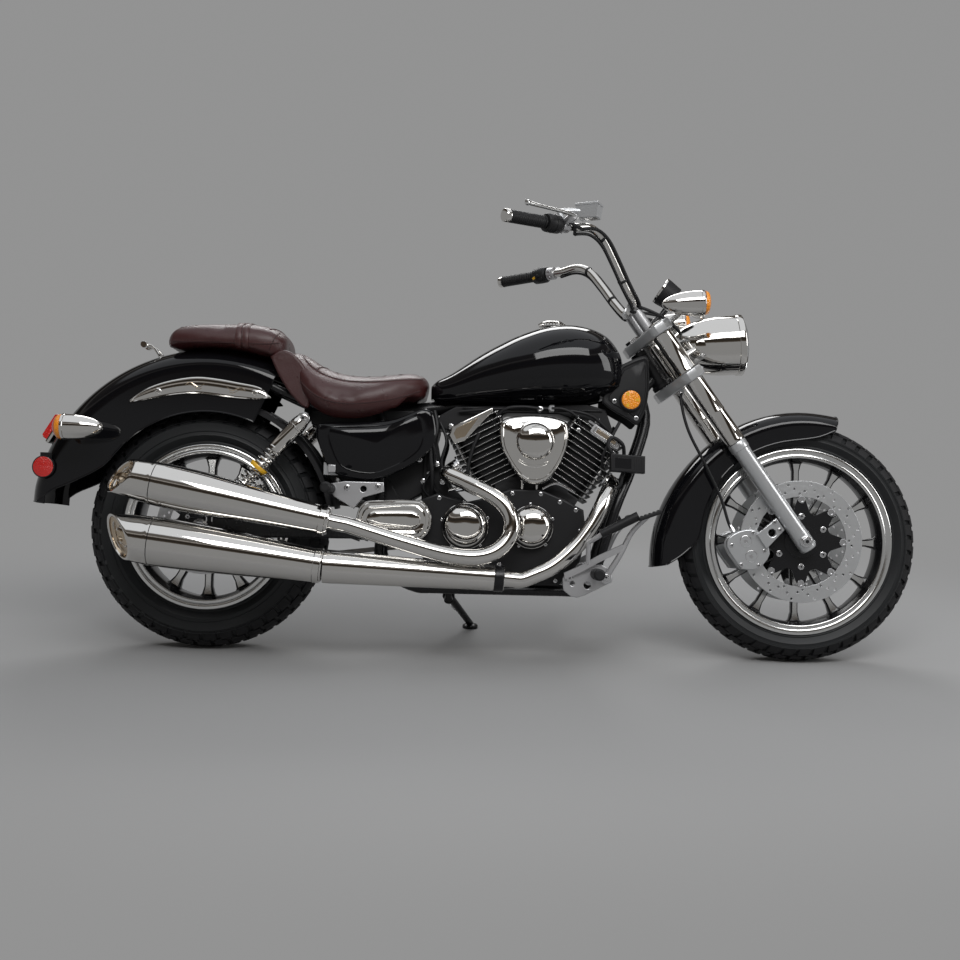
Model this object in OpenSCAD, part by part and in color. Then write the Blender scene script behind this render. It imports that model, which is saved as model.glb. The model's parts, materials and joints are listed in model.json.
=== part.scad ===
// Cruiser motorcycle, parked on its side stand.
// The bike is drawn upright: X forward from the rear axle, Y to its left, Z up from the ground.
// parked() then leans it to the left about the tyres' contact line and centres it over the origin.

/* [Chassis] */
// Distance between the two axles
wheelbase = 1567; // [1400:1:1900]
// Lean to the left on the side stand, in degrees
lean = 10.7; // [6:0.1:14]
// Angle of the fork from upright, in degrees
rake = 35.3; // [28:0.1:40]
// Distance from the steering axis forward to the fork legs
fork_offset = 55; // [40:1:75]
// Distance between the centre lines of the two fork legs
fork_spacing = 206; // [200:1:250]
// Radius of the chrome fork covers
fork_cover_r = 27; // [22:1:34]
// Radius of the fork's lower legs
fork_leg_r = 23.5; // [20:0.5:27]
// Length of the fork from the front axle to the lower yoke
fork_length = 508; // [440:1:610]
// Distance between the two yokes
yoke_gap = 148; // [120:1:180]
// Distance from the rear axle to the swingarm pivot
swingarm_length = 430; // [400:1:480]

/* [Wheels] */
// Radius of the rear tyre
rear_tyre_r = 320; // [280:1:350]
// Width of the rear tyre
rear_tyre_w = 138; // [110:1:160]
// Radius of the front tyre
front_tyre_r = 316.5; // [280:1:350]
// Width of the front tyre
front_tyre_w = 108; // [90:1:130]
// Radius of the rear rim's edge
rear_rim_r = 218; // [190:1:240]
// Radius of the front rim's edge
front_rim_r = 246; // [210:1:260]
// Number of spokes on each wheel
spokes = 12; // [6:1:16]
// Radius of the front brake discs
front_disc_r = 160; // [130:1:180]
// Radius of the rear brake disc
rear_disc_r = 125; // [100:1:150]
// Radius of the two axles
axle_r = 10; // [8:0.5:13]

/* [Bodywork] */
// Radius of the rear fender's crown, from the axle
rear_fender_r = 480; // [440:1:520]
// Width of the rear fender
rear_fender_w = 194; // [180:1:230]
// Width of the front fender
front_fender_w = 134; // [128:1:150]
// Thickness of the fenders
fender_t = 3; // [2:0.5:5]
// Width of the fuel tank
tank_w = 288; // [220:1:340]
// Width of the rider's seat
front_seat_w = 320; // [260:1:380]
// Width of the passenger's seat
rear_seat_w = 250; // [200:1:300]
// Radius of the headlight
headlight_r = 80; // [65:1:95]

/* [Handlebar] */
// Width across the ends of the handlebar
bar_width = 764; // [640:1:920]
// Radius of the handlebar tube
bar_r = 11; // [9:0.5:14]
// Radius of the handgrips
grip_r = 16.5; // [14:0.5:19]

/* [Engine] */
// Width of the crankcase
crankcase_w = 220; // [190:1:250]
// Width of the cylinders
cylinder_w = 170; // [140:1:200]
// Lean of the rear cylinder, in degrees back from upright
rear_bank = 27; // [20:1:35]
// Lean of the front cylinder, in degrees forward from upright
front_bank = 33; // [25:1:40]
// Number of cooling fins on each cylinder
fins = 9; // [6:1:12]
// Radius of the upper muffler's body
upper_muffler_r = 56; // [45:1:62]
// Radius of the lower muffler's body
lower_muffler_r = 62; // [50:1:68]

/* [Hidden] */
$fn = 48;

// Running clearance between pieces that seat on each other
fit = 0.3;
// Clearance round an axle in its hub
axle_fit = 0.05;
// Clearance between pieces that move past each other
run = 6;

// Height of the line about which the bike leans, between the two tyres' crown radii
roll_z = 65;
rear_axle_p = [0, 0, rear_tyre_r];
front_axle_p = [wheelbase, 0, front_tyre_r];
// The ends of the bike, which set where its middle is
tail_x = -rear_fender_r + 9;
nose_x = wheelbase + front_tyre_r;
mid_x = (tail_x + nose_x) / 2;
grip_z = 1083;
mid_y = (grip_z - roll_z) * sin(lean);

// The steering axis, its direction and its height along the fork
steer_dir = [-sin(rake), 0, cos(rake)];
across_dir = [cos(rake), 0, sin(rake)];
lower_yoke_z = fork_length;
upper_yoke_z = fork_length + yoke_gap;
yoke_t = 28;
leg_y = fork_spacing / 2;
// Point on the steering axis at a height h along the fork
function steer_p(h) = front_axle_p - fork_offset * across_dir + h * steer_dir;
// A point of the fork's own frame (forward, left, up along the fork) in the bike's frame
function fork_p(p) = front_axle_p + p[0] * across_dir + [0, p[1], 0] + p[2] * steer_dir;
head_low = lower_yoke_z + yoke_t + 2;
head_high = upper_yoke_z - 2;
stem_r = 13;
head_r = 29;

module parked()
    translate([-mid_x, -mid_y, roll_z]) rotate([-lean, 0, 0]) translate([0, 0, -roll_z])
        children();

module fork_frame()
    translate(front_axle_p) rotate([0, -rake, 0])
        children();

module both_sides() {
    children();
    mirror([0, 1, 0]) children();
}

// ---- Shapes ----

function unit(v) = v / norm(v);
function mirrored(points) = [for (p = points) [p[0], -p[1], p[2]]];

// A solid through closed rings of points, with its ends closed to their middles
module loft(rings) {
    n = len(rings[0]);
    m = len(rings);
    first = [for (k = [0:2]) [for (p = rings[0]) p[k]] * [for (p = rings[0]) 1] / n];
    last = [for (k = [0:2]) [for (p = rings[m - 1]) p[k]] * [for (p = rings[0]) 1] / n];
    points = concat([for (r = rings) each r], [first, last]);
    sides = [for (i = [0:m - 2], j = [0:n - 1]) each [
        [i * n + j, (i + 1) * n + j, (i + 1) * n + (j + 1) % n],
        [i * n + j, (i + 1) * n + (j + 1) % n, i * n + (j + 1) % n]
    ]];
    ends = [for (j = [0:n - 1]) each [
        [m * n, j, (j + 1) % n],
        [m * n + 1, (m - 1) * n + (j + 1) % n, (m - 1) * n + j]
    ]];
    polyhedron(points, concat(sides, ends));
}

// A sheet between an outer and an inner grid of points
module thick_sheet(outer, inner) {
    m = len(outer);
    n = len(outer[0]);
    k = m * n;
    points = concat([for (r = outer) each r], [for (r = inner) each r]);
    skins = [for (i = [0:m - 2], j = [0:n - 2]) each [
        [i * n + j, (i + 1) * n + j, (i + 1) * n + j + 1],
        [i * n + j, (i + 1) * n + j + 1, i * n + j + 1],
        [k + i * n + j, k + (i + 1) * n + j + 1, k + (i + 1) * n + j],
        [k + i * n + j, k + i * n + j + 1, k + (i + 1) * n + j + 1]
    ]];
    long_edges = [for (i = [0:m - 2]) each [
        [i * n, k + i * n, k + (i + 1) * n],
        [i * n, k + (i + 1) * n, (i + 1) * n],
        [i * n + n - 1, (i + 1) * n + n - 1, k + (i + 1) * n + n - 1],
        [i * n + n - 1, k + (i + 1) * n + n - 1, k + i * n + n - 1]
    ]];
    short_edges = [for (j = [0:n - 2]) each [
        [j, j + 1, k + j + 1],
        [j, k + j + 1, k + j],
        [(m - 1) * n + j, k + (m - 1) * n + j + 1, (m - 1) * n + j + 1],
        [(m - 1) * n + j, k + (m - 1) * n + j, k + (m - 1) * n + j + 1]
    ]];
    polyhedron(points, concat(skins, long_edges, short_edges));
}

// A smooth curve through points, with so many steps between each two
function curve(points, steps) = let (n = len(points)) concat(
    [for (i = [0:n - 2], s = [0:steps - 1])
        let (
            a = points[max(i - 1, 0)], b = points[i], c = points[i + 1], d = points[min(i + 2, n - 1)],
            t = s / steps
        )
        b + t * (c - a) / 2 + t * t * (a - 2.5 * b + 2 * c - d / 2) + t * t * t * (1.5 * (b - c) + (d - a) / 2)
    ],
    [points[n - 1]]
);

// A round bar along a path; reference is a direction that the path never follows
module tube(path, radius, sides = 10, reference = [0, 1, 0]) {
    last = len(path) - 1;
    loft([for (i = [0:last])
        let (
            along = unit(path[min(i + 1, last)] - path[max(i - 1, 0)]),
            u = unit(cross(along, reference)),
            v = cross(along, u)
        )
        [for (k = [0:sides - 1]) path[i] + radius * (cos(k * 360 / sides) * u + sin(k * 360 / sides) * v)]
    ]);
}

// A straight round bar between two points
module rod(a, b, r, bore = 0) {
    d = b - a;
    translate(a) rotate([0, acos(d[2] / norm(d)), atan2(d[1], d[0])])
        difference() {
            cylinder(h = norm(d), r = r);
            if (bore > 0) translate([0, 0, -1]) cylinder(h = norm(d) + 2, r = bore);
        }
}

// A round solid about the line from a towards b; rows are [distance along, radius]
module turned(a, b, rows) {
    d = b - a;
    translate(a) rotate([0, acos(d[2] / norm(d)), atan2(d[1], d[0])])
        rotate_extrude() polygon(concat([[0, rows[0][0]]], [for (r = rows) [r[1], r[0]]], [[0, rows[len(rows) - 1][0]]]));
}

// A plate whose outline is given as [X, Z] points, from y0 to y1 to the left
module plate(outline, y0, y1)
    translate([0, y1, 0]) rotate([90, 0, 0]) linear_extrude(height = y1 - y0) polygon(outline);

// A wheel-shaped solid about the Y axis; rows are [radius, y]
module wheel_turned(rows)
    rotate([90, 0, 0]) rotate_extrude($fn = 96) polygon([for (r = rows) [r[0], -r[1]]]);

// ---- Wheels ----

bead_t = 14;
// Half of a tyre's width where it sits in the rim, and the rim's edge just outside it
rear_bead_y = rear_tyre_w / 2 - 15;
front_bead_y = front_tyre_w / 2 - 12;

module tyre(r, w, rim_r, bead_y) {
    crown_r = w / 2 + 6;
    side = asin((w / 2) / crown_r);
    shoulder = [for (a = [-side:side / 8:side + 0.01]) [r - crown_r + crown_r * cos(a), crown_r * sin(a)]];
    wheel_turned(concat(
        [[rim_r - bead_t + fit, -bead_y], [rim_r + 4, -bead_y], [rim_r + 18, -w / 2 + 2]],
        shoulder,
        [[rim_r + 18, w / 2 - 2], [rim_r + 4, bead_y], [rim_r - bead_t + fit, bead_y]]
    ));
}

// A cast wheel: barrel with raised edges, spokes and a bored hub
module rim(rim_r, bead_y, hub_r, hub_y, spoke_in, spoke_out) {
    barrel_r = rim_r - bead_t;
    lip_y = bead_y + fit;
    wheel_turned([
        [barrel_r - 10, -lip_y - 6], [rim_r, -lip_y - 6], [rim_r, -lip_y], [barrel_r, -lip_y],
        [barrel_r, lip_y], [rim_r, lip_y], [rim_r, lip_y + 6], [barrel_r - 10, lip_y + 6],
        [barrel_r - 10, lip_y - 8], [barrel_r - 6, 20], [barrel_r - 6, -20], [barrel_r - 10, -lip_y + 8]
    ]);
    difference() {
        union() {
            wheel_turned([[0, -hub_y], [hub_r - 12, -hub_y], [hub_r, -hub_y + 25], [hub_r, hub_y - 25], [hub_r - 12, hub_y], [0, hub_y]]);
            for (k = [0:spokes - 1])
                rotate([0, k * 360 / spokes, 0])
                    plate([
                        [hub_r - 6, -spoke_in / 2], [barrel_r - 3, -spoke_out / 2],
                        [barrel_r - 3, spoke_out / 2], [hub_r - 6, spoke_in / 2]
                    ], -14, 14);
        }
        rotate([90, 0, 0]) cylinder(h = 4 * hub_y, r = axle_r + axle_fit, center = true);
    }
}

// A brake disc on its carrier, face to face with the hub; side is 1 for left, -1 for right
module disc(r, band, hub_y, disc_y, hub_r, side) {
    inner = r - band;
    y0 = side * (hub_y + fit);
    y1 = side * (disc_y - 2.5);
    y2 = side * (disc_y + 2.5);
    wheel_turned([[inner, y1], [r, y1], [r, y2], [inner, y2]]);
    wheel_turned([[axle_r + 14, y0], [hub_r, y0], [hub_r, y1], [inner + 2, y1], [inner + 2, y2], [hub_r - 14, y2], [axle_r + 14, y2]]);
}

front_hub_r = 52;
front_hub_y = 62;
rear_hub_r = 66;
rear_hub_y = 72;
front_disc_y = 71;
rear_disc_y = 86;
disc_band = 42;

module front_tyre() color([0.05, 0.05, 0.05])
    parked() translate(front_axle_p) tyre(front_tyre_r, front_tyre_w, front_rim_r, front_bead_y);

module rear_tyre() color([0.05, 0.05, 0.05])
    parked() translate(rear_axle_p) tyre(rear_tyre_r, rear_tyre_w, rear_rim_r, rear_bead_y);

module front_rim() color([0.75, 0.75, 0.76])
    parked() translate(front_axle_p) rim(front_rim_r, front_bead_y, front_hub_r, front_hub_y, 22, 13);

sprocket_y = 88;
sprocket_r = 92;

module rear_rim() color([0.75, 0.75, 0.76])
    parked() translate(rear_axle_p) {
        rim(rear_rim_r, rear_bead_y, rear_hub_r, rear_hub_y, 26, 15);
        disc(rear_disc_r, 34, rear_hub_y, rear_disc_y, 58, -1);
        wheel_turned([
            [axle_r + 14, rear_hub_y + fit], [56, rear_hub_y + fit], [56, sprocket_y - 3], [sprocket_r, sprocket_y - 3],
            [sprocket_r, sprocket_y + 3], [axle_r + 14, sprocket_y + 3]
        ]);
    }

module front_discs() color([0.6, 0.6, 0.62])
    parked() translate(front_axle_p)
        for (side = [-1, 1])
            disc(front_disc_r, disc_band, front_hub_y, front_disc_y, 46, side);

// ---- Frame ----

seat_rail_y = 62;
cradle_y = 92;
pivot_p = [swingarm_length, 0, 318];
backbone_r = 20;
rail_r = 13;
cradle_low = 172;
upright_y = 66;
upright_x = pivot_p[0] + 30;
head_back = steer_p((head_low + head_high) / 2) - [head_r - 6, 0, 0];
head_foot = steer_p(head_low + 14) - 66 * across_dir + [0, 26, 0];
cradle_path = [
    steer_p(head_low + 34) - 18 * across_dir + [0, 14, 0], head_foot, head_foot + [9, 12, -77], [1120, 60, 495],
    [1075, cradle_y, 385], [1020, cradle_y, 205], [985, cradle_y, cradle_low], [560, cradle_y, cradle_low],
    [500, upright_y, 200], [upright_x, upright_y, pivot_p[2]], [upright_x - 4, upright_y, 600], [430, 24, 640]
];

module frame_tubes() color([0.04, 0.04, 0.045])
    parked() {
        difference() {
            union() {
                // Backbone under the tank, from the steering head to the seat
                chain([head_back, [620, 0, 655], [430, 0, 640]], backbone_r);
                // Cradle: down the front, along the bottom and up past the swingarm pivot
                both_sides() chain(cradle_path, rail_r);
            }
            fork_frame() translate([-fork_offset, 0, 0]) cylinder(h = 2000, r = head_r + 1);
        }
        both_sides() {
            // Seat rail back to the fender's side
            chain([[434, 26, 639], [300, seat_rail_y, 640], [150, rear_fender_w / 2 - fender_t - fit - rail_r + 1, 700]], rail_r - 1);
            // Lug for the top of the shock
            chain([[shock_top[0], 66, 652], [shock_top[0], 72, shock_top[2]]], 10);
        }
        // Lug for the side stand
        rod(stand_pivot - (12 + fit) * stand_axis, stand_pivot - 30 * stand_axis, 12);
        chain([stand_pivot - 30 * stand_axis, [stand_pivot[0], cradle_y, cradle_low]], 9);
        // Cross tubes
        for (p = [[985, cradle_y, cradle_low], [560, cradle_y, cradle_low], [upright_x - 1, upright_y, 380]])
            rod([p[0], -p[1], p[2]], p, rail_r - 2);
        rod([300, -seat_rail_y, 640], [300, seat_rail_y, 640], rail_r - 2);
    }

// Straight round members between points, with round corners
module chain(points, r)
    for (i = [0:len(points) - 2])
        hull() {
            translate(points[i]) sphere(r = r, $fn = 14);
            translate(points[i + 1]) sphere(r = r, $fn = 14);
        }

module steering_head() color([0.04, 0.04, 0.045])
    parked() fork_frame() translate([-fork_offset, 0, 0])
        difference() {
            translate([0, 0, head_low]) cylinder(h = head_high - head_low, r = head_r);
            cylinder(h = 2000, r = stem_r + axle_fit);
        }

module under_seat_box() color([0.05, 0.05, 0.05])
    parked() plate([
        [352, 470], [352, 590], [400, 596], [540, 596], [575, 580], [575, 425], [520, 380 + rail_r - 2 + fit],
        [440, 380 + rail_r - 2 + fit], [440, 470]
    ], -48, 48);

side_cover_y = 104;
module side_covers() color([0.02, 0.02, 0.02])
    parked() both_sides() {
        plate([
            [292, 556], [292, 590], [330, 598], [480, 608], [575, 640], [600, 600], [596, 545], [560, 505],
            [500, 470], [430, 448], [335, 470]
        ], side_cover_y, side_cover_y + 18);
        // Post to the frame's upright
        rod([upright_x - 3, upright_y + rail_r + fit, 560], [upright_x - 3, side_cover_y + 1, 560], 8);
    }

neck_y = 60;
neck_t = 11;
// The cover's outline, measured back and up from the foot of the steering head
neck_outline = [[-122, 50], [-58, 77], [-48, -2], [-56, -69], [-78, -109], [-178, -46]];
neck_foot = steer_p(head_low);
module neck_covers() color([0.04, 0.04, 0.04])
    parked() both_sides() {
        difference() {
            plate([for (p = neck_outline) [neck_foot[0] + p[0], neck_foot[2] + p[1]]], neck_y, neck_y + neck_t);
            tank_body(4);
        }
        // Post to the frame's front tube
        rod([head_foot[0], head_foot[1] + rail_r + fit, head_foot[2]], [head_foot[0], neck_y + 1, head_foot[2]], 7);
    }

reflector_r = 27;
module neck_reflectors() color([0.9, 0.45, 0.05])
    parked() both_sides()
        translate([neck_foot[0] - 97, neck_y + neck_t + fit, neck_foot[2] - 44]) rotate([-90, 0, 0])
            cylinder(h = 10, r = reflector_r);

// ---- Tank and seats ----

// A rounded ring across the bike: half width w, from z0 up to z1, fullest at a share f of its height
function ring(x, w, z0, z1, f = 0.45, sides = 24, power = 2.3) = [for (k = [0:sides - 1])
    let (
        a = k * 360 / sides,
        c = cos(a),
        s = sin(a),
        zc = z0 + f * (z1 - z0),
        h = s > 0 ? z1 - zc : zc - z0
    )
    [x, w * sign(c) * pow(abs(c), 2 / power), zc + h * sign(s) * pow(abs(s), 2 / power)]
];

// Tank sections: [X, share of the half width, underside, top]
tank_rows = [
    [584, 0.16, 672, 712], [600, 0.34, 664, 727], [640, 0.50, 660, 748], [712, 0.70, 660, 797], [766, 0.83, 660, 828],
    [819, 0.93, 661, 854], [887, 1.00, 663, 877], [954, 1.00, 666, 884], [1009, 0.93, 672, 875], [1050, 0.79, 682, 856],
    [1077, 0.62, 692, 828], [1092, 0.42, 705, 800], [1099, 0.22, 722, 775]
];
module fuel_tank() color([0.02, 0.02, 0.02])
    parked() difference() {
        tank_body(0);
        tunnel();
    }

// The tank's outside, grown by a distance
module tank_body(grow)
    loft([for (r = tank_rows)
        ring(r[0] + grow * (r[0] - 842) / 258, r[1] * tank_w / 2 + grow, r[2] - grow, r[3] + grow)]);

// The room for the backbone under the tank
module tunnel() {
    a = head_back;
    b = [620, 0, 655];
    slope = (a[2] - b[2]) / (a[0] - b[0]);
    z_at = b[2] + backbone_r + 1.2;
    plate([
        [560, 600], [1120, 600], [1120, z_at + slope * (1120 - b[0])], [b[0], z_at], [560, z_at - 3]
    ], -backbone_r - 8, backbone_r + 8);
}

module fuel_cap() color([0.8, 0.8, 0.82])
    parked() translate([905, 0, 882.4]) cylinder(h = 13, r = 33);

// Rider's seat sections: [X, share of the half width, underside, top]
front_seat_rows = [
    [207, 0.45, 706, 792], [222, 0.62, 676, 797], [245, 0.74, 652, 786], [275, 0.86, 628, 765], [311, 0.95, 606, 745],
    [365, 1.00, 596, 732], [430, 0.98, 604, 730], [490, 0.86, 622, 737], [540, 0.68, 638, 740], [570, 0.48, 652, 731],
    [580, 0.30, 665, 716]
];
module front_seat() color([0.25, 0.1, 0.09])
    parked() difference() {
        loft([for (r = front_seat_rows) ring(r[0], r[1] * front_seat_w / 2, r[2], r[3], 0.4, 24, 2.6)]);
        // The underside is hollow over the seat rails and the fender
        plate([[150, 560], [620, 560], [640, 560], [640, 677.4], [430, 660.5], [330, 660.5], [240, 712], [190, 740], [150, 740]], -seat_rail_y - 44, seat_rail_y + 44);
    }

// Passenger's seat sections: [X, share of the half width, underside, top]
rear_seat_rows = [
    [-120, 0.50, 796, 818], [-110, 0.68, 789, 835], [-88, 0.80, 786, 850], [-42, 0.92, 784, 857], [20, 0.98, 782, 859],
    [75, 1.00, 780, 860], [120, 1.00, 778, 859], [165, 0.96, 778, 850], [192, 0.86, 780, 836], [204, 0.70, 786, 822]
];
module rear_seat() color([0.25, 0.1, 0.09])
    parked() difference() {
        loft([for (r = rear_seat_rows) ring(r[0], r[1] * rear_seat_w / 2, r[2] - 28, r[3], 0.5, 24, 2.6)]);
        plate(arc_outline(rear_fender_r + 1, 50, 130), -rear_seat_w, rear_seat_w);
    }

// A pie of a wheel-centred circle between two angles, as [X, Z] points
function arc_outline(r, a0, a1) = concat(
    [[0, rear_tyre_r]],
    [for (a = [a0:2:a1]) [r * cos(a), rear_tyre_r + r * sin(a)]]
);

strap_x = 90;
strap_w = 34;
module seat_strap() color([0.22, 0.09, 0.08])
    parked() thick_sheet(
        [for (x = [strap_x - strap_w / 2, strap_x + strap_w / 2]) strap_line(x, 1.2 + 3)],
        [for (x = [strap_x - strap_w / 2, strap_x + strap_w / 2]) strap_line(x, 1.2)]
    );
// The strap's line over the passenger's seat, a distance out from it
function strap_line(x, out) = [for (a = [200:-10:-20])
    let (
        w = rear_seat_w / 2 + out,
        z0 = 752,
        zc = z0 + 0.5 * (860 - z0),
        h = 54 + out,
        c = cos(a),
        s = sin(a)
    )
    [x, w * sign(c) * pow(abs(c), 2 / 2.6), zc + h * sign(s) * pow(abs(s), 2 / 2.6)]
];

// ---- Fenders ----

// Lines across a fender at an angle from its axle: crown radius, edge radius, half width and the way in
function fender_line(centre, a, crown, edge, w, inset, steps = 8) = [for (k = [-steps:steps])
    let (
        t = abs(k) / steps,
        // The first half of each side is the vertical skirt and the rest rounds over to the crown
        skirt = t > 0.5,
        q = t / 0.5 * 90,
        y = (skirt ? w : w * sin(q)) - (skirt ? inset : inset * sin(q)),
        drop = 0.55 * w,
        r_round = crown - drop + drop * cos(q),
        r = skirt ? (crown - drop) + (edge - crown + drop) * (t - 0.5) / 0.5 : r_round
    )
    centre + [(r - (skirt ? 0 : inset * cos(q))) * cos(a), sign(k) * y, (r - (skirt ? 0 : inset * cos(q))) * sin(a)]
];

module fender(centre, rows, w) {
    thick_sheet(
        [for (f = rows) fender_line(centre, f[0], f[1], f[2], w / 2, 0)],
        [for (f = rows) fender_line(centre, f[0], f[1], f[2], w / 2, fender_t)]
    );
}

// Rear fender: [angle from the axle, share of the crown radius, radius of the side's edge]
rear_fender_rows = concat(
    [for (a = [66:7:143]) [a, rear_fender_r, 300]],
    [[150, rear_fender_r, 306], [157, rear_fender_r, 330], [163, rear_fender_r, 366], [168, rear_fender_r, 408], [173, rear_fender_r - 4, 440]]
);
module rear_fender() color([0.02, 0.02, 0.02])
    parked() fender(rear_axle_p, rear_fender_rows, rear_fender_w);

// Front fender: [angle from the axle, crown radius beyond the tyre, edge radius below the tyre's]
front_fender_rows = [
    [73, 36, -8], [80, 33, -34], [90, 31, -47], [105, 29, -50], [120, 29, -50], [135, 31, -50], [150, 38, -52],
    [163, 50, -53], [175, 62, -53], [182, 69, -40], [188, 75, 0], [191, 79, 40]
];
module front_fender() color([0.02, 0.02, 0.02])
    parked() fender(front_axle_p, [for (f = front_fender_rows) [f[0], front_tyre_r + f[1], front_tyre_r + f[2]]], front_fender_w);

rail_y = rear_fender_w / 2 + fit;
// The chrome rail on the fender's side: [angle, radius of its lower edge, radius of its upper edge]
fender_rail_rows = [
    [64, 376, 382], [70, 356, 392], [78, 345, 386], [86, 345, 388], [94, 349, 392], [102, 353, 392], [110, 358, 392],
    [116, 364, 390], [122, 376, 386]
];
module fender_rails() color([0.85, 0.85, 0.87])
    parked() both_sides() thick_sheet(
        [for (f = fender_rail_rows) [for (r = [f[1], (f[1] + f[2]) / 2, f[2]])
            rear_axle_p + [r * cos(f[0]), rail_y + 10 - abs(r - (f[1] + f[2]) / 2) / 5, r * sin(f[0])]]],
        [for (f = fender_rail_rows) [for (r = [f[1], (f[1] + f[2]) / 2, f[2]])
            rear_axle_p + [r * cos(f[0]), rail_y, r * sin(f[0])]]]
    );

signal_r = 33;
rear_signal_p = [-350, 175, 566];
// Turned rows of a bullet lamp, from its tip to the lens's seat
function bullet_rows(length, r) = [for (a = [0:10:90]) [length * (1 - cos(a)), max(r * sin(a), 0.01)]];
module rear_signals() color([0.8, 0.8, 0.82])
    parked() both_sides() {
        turned(rear_signal_p + [104, 0, 0], rear_signal_p, concat(bullet_rows(92, signal_r), [[104, signal_r]]));
        rod([rear_signal_p[0] + 40, rear_fender_w / 2 + fit, rear_signal_p[2]], rear_signal_p + [40, 0, 0], 8);
    }
module rear_signal_lenses() color([0.95, 0.5, 0.1])
    parked() both_sides()
        turned(rear_signal_p - [fit, 0, 0], rear_signal_p - [60, 0, 0], [[0, signal_r - 2], [12, signal_r - 3], [22, signal_r - 12], [26, 6]]);

tail_angle = 149;
module tail_lamp() color([0.7, 0.05, 0.05])
    parked() translate(rear_axle_p) rotate([0, -tail_angle, 0])
        translate([rear_fender_r + fit, 0, 0]) rotate([0, 90, 0]) {
            linear_extrude(height = 12) square([86, 84], center = true);
            translate([0, 0, 12]) linear_extrude(height = 22) square([74, 72], center = true);
        }

module rear_reflectors() color([0.85, 0.1, 0.08])
    parked() both_sides()
        translate([-421, rear_fender_w / 2 + fit, 466]) rotate([-90, 0, 0]) cylinder(h = 12, r = 29);

// ---- Rear suspension ----

arm_y = 104;
arm_w = 26;
module swingarm() color([0.04, 0.04, 0.045])
    parked() difference() {
        union() {
            both_sides() {
                plate([[-30, 296], [-30, 344], [30, 348], [pivot_p[0] - 40, 344], [pivot_p[0] - 12, 350], [pivot_p[0] - 12, 290], [30, 292]], arm_y, arm_y + arm_w);
                plate([[52, 342], [70, 418], [104, 418], [140, 342]], arm_y, arm_y + 12);
            }
            plate([[pivot_p[0] - 68, 300], [pivot_p[0] - 68, 340], [pivot_p[0] - 14, 346], [pivot_p[0] - 14, 294]], -arm_y - 1, arm_y + 1);
            rod(pivot_p - [0, arm_y + arm_w, 0], pivot_p + [0, arm_y + arm_w, 0], upright_x - rail_r - fit - pivot_p[0]);
        }
        translate(rear_axle_p) rotate([90, 0, 0]) cylinder(h = 600, r = axle_r + axle_fit, center = true);
    }

rear_axle_l = 2 * (arm_y + arm_w) + 30;
module rear_axle() color([0.7, 0.7, 0.72])
    parked() translate(rear_axle_p) rotate([90, 0, 0])
        difference() {
            union() {
                cylinder(h = rear_axle_l, r = axle_r, center = true);
                for (m = [0, 1]) mirror([0, 0, m]) translate([0, 0, arm_y + arm_w + fit]) cylinder(h = 12, r = 17);
            }
            cylinder(h = rear_axle_l + 2, r = 5, center = true);
        }

// The room for a brake disc in its caliper
module disc_slot(r, y)
    translate([0, y, 0]) rotate([90, 0, 0]) cylinder(h = 5 + 2 * run, r = r + run, center = true, $fn = 96);

shock_y = 140;
shock_top = [262, shock_y, 604];
shock_foot = [86, shock_y, 404];
module rear_shocks() color([0.85, 0.85, 0.87])
    parked() both_sides() {
        rod([shock_foot[0], arm_y + 12 + fit, shock_foot[2]], shock_foot + [0, 14, 0], 15);
        rod(shock_foot, shock_top, 8);
        turned(shock_top, shock_foot, [[-2, 12], [10, 25], [96, 25], [100, 21]]);
        rod([shock_top[0], 82 + fit, shock_top[2]], shock_top + [0, 14, 0], 12);
        rod(shock_foot + 0.10 * (shock_top - shock_foot), shock_foot + 0.7 * (shock_top - shock_foot), 20);
    }

module rear_caliper() color([0.6, 0.6, 0.62])
    parked() translate(rear_axle_p)
        difference() {
            rotate([0, -24, 0]) translate([rear_disc_r - 20, 0, 0])
                plate([[-18, -36], [42, -30], [42, 30], [-18, 36]], -arm_y + fit, -rear_disc_y + 22);
            disc_slot(rear_disc_r, -rear_disc_y);
        }

// ---- Engine ----

crank_p = [850, 320];
deck_h = 150;
head_h = 335;
deck_half = 60;
fin_half = 82;
rear_axis = [-sin(rear_bank), cos(rear_bank)];
rear_side = [cos(rear_bank), sin(rear_bank)];
front_axis = [sin(front_bank), cos(front_bank)];
front_side = [cos(front_bank), -sin(front_bank)];
case_low = cradle_low + rail_r + fit;
chain_room_y = 78;
module crankcase() color([0.12, 0.12, 0.13])
    parked() difference() {
        union() {
            plate([
                [560, 300], [585, 225], [640, case_low], [930, case_low], [985, 250], [1000, 320], [992, 385], [940, 412],
                [880, 436], [800, 436], [740, 412], [690, 400], [610, 420], [560, 400]
            ], -crankcase_w / 2, crankcase_w / 2);
            // The two decks that the cylinders stand on
            plate([
                crank_p + deck_h * front_axis + deck_half * front_side,
                crank_p + deck_h * front_axis - deck_half * front_side,
                crank_p + [2, deck_h - 6],
                crank_p + deck_h * rear_axis + deck_half * rear_side,
                crank_p + deck_h * rear_axis - deck_half * rear_side,
                [750, 398], [960, 388]
            ], -cylinder_w / 2, cylinder_w / 2);
        }
        // The room for the front sprocket and its chain
        plate([[500, 255], [664, 255], [664, 440], [500, 440]], chain_room_y, crankcase_w);
    }

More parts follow.
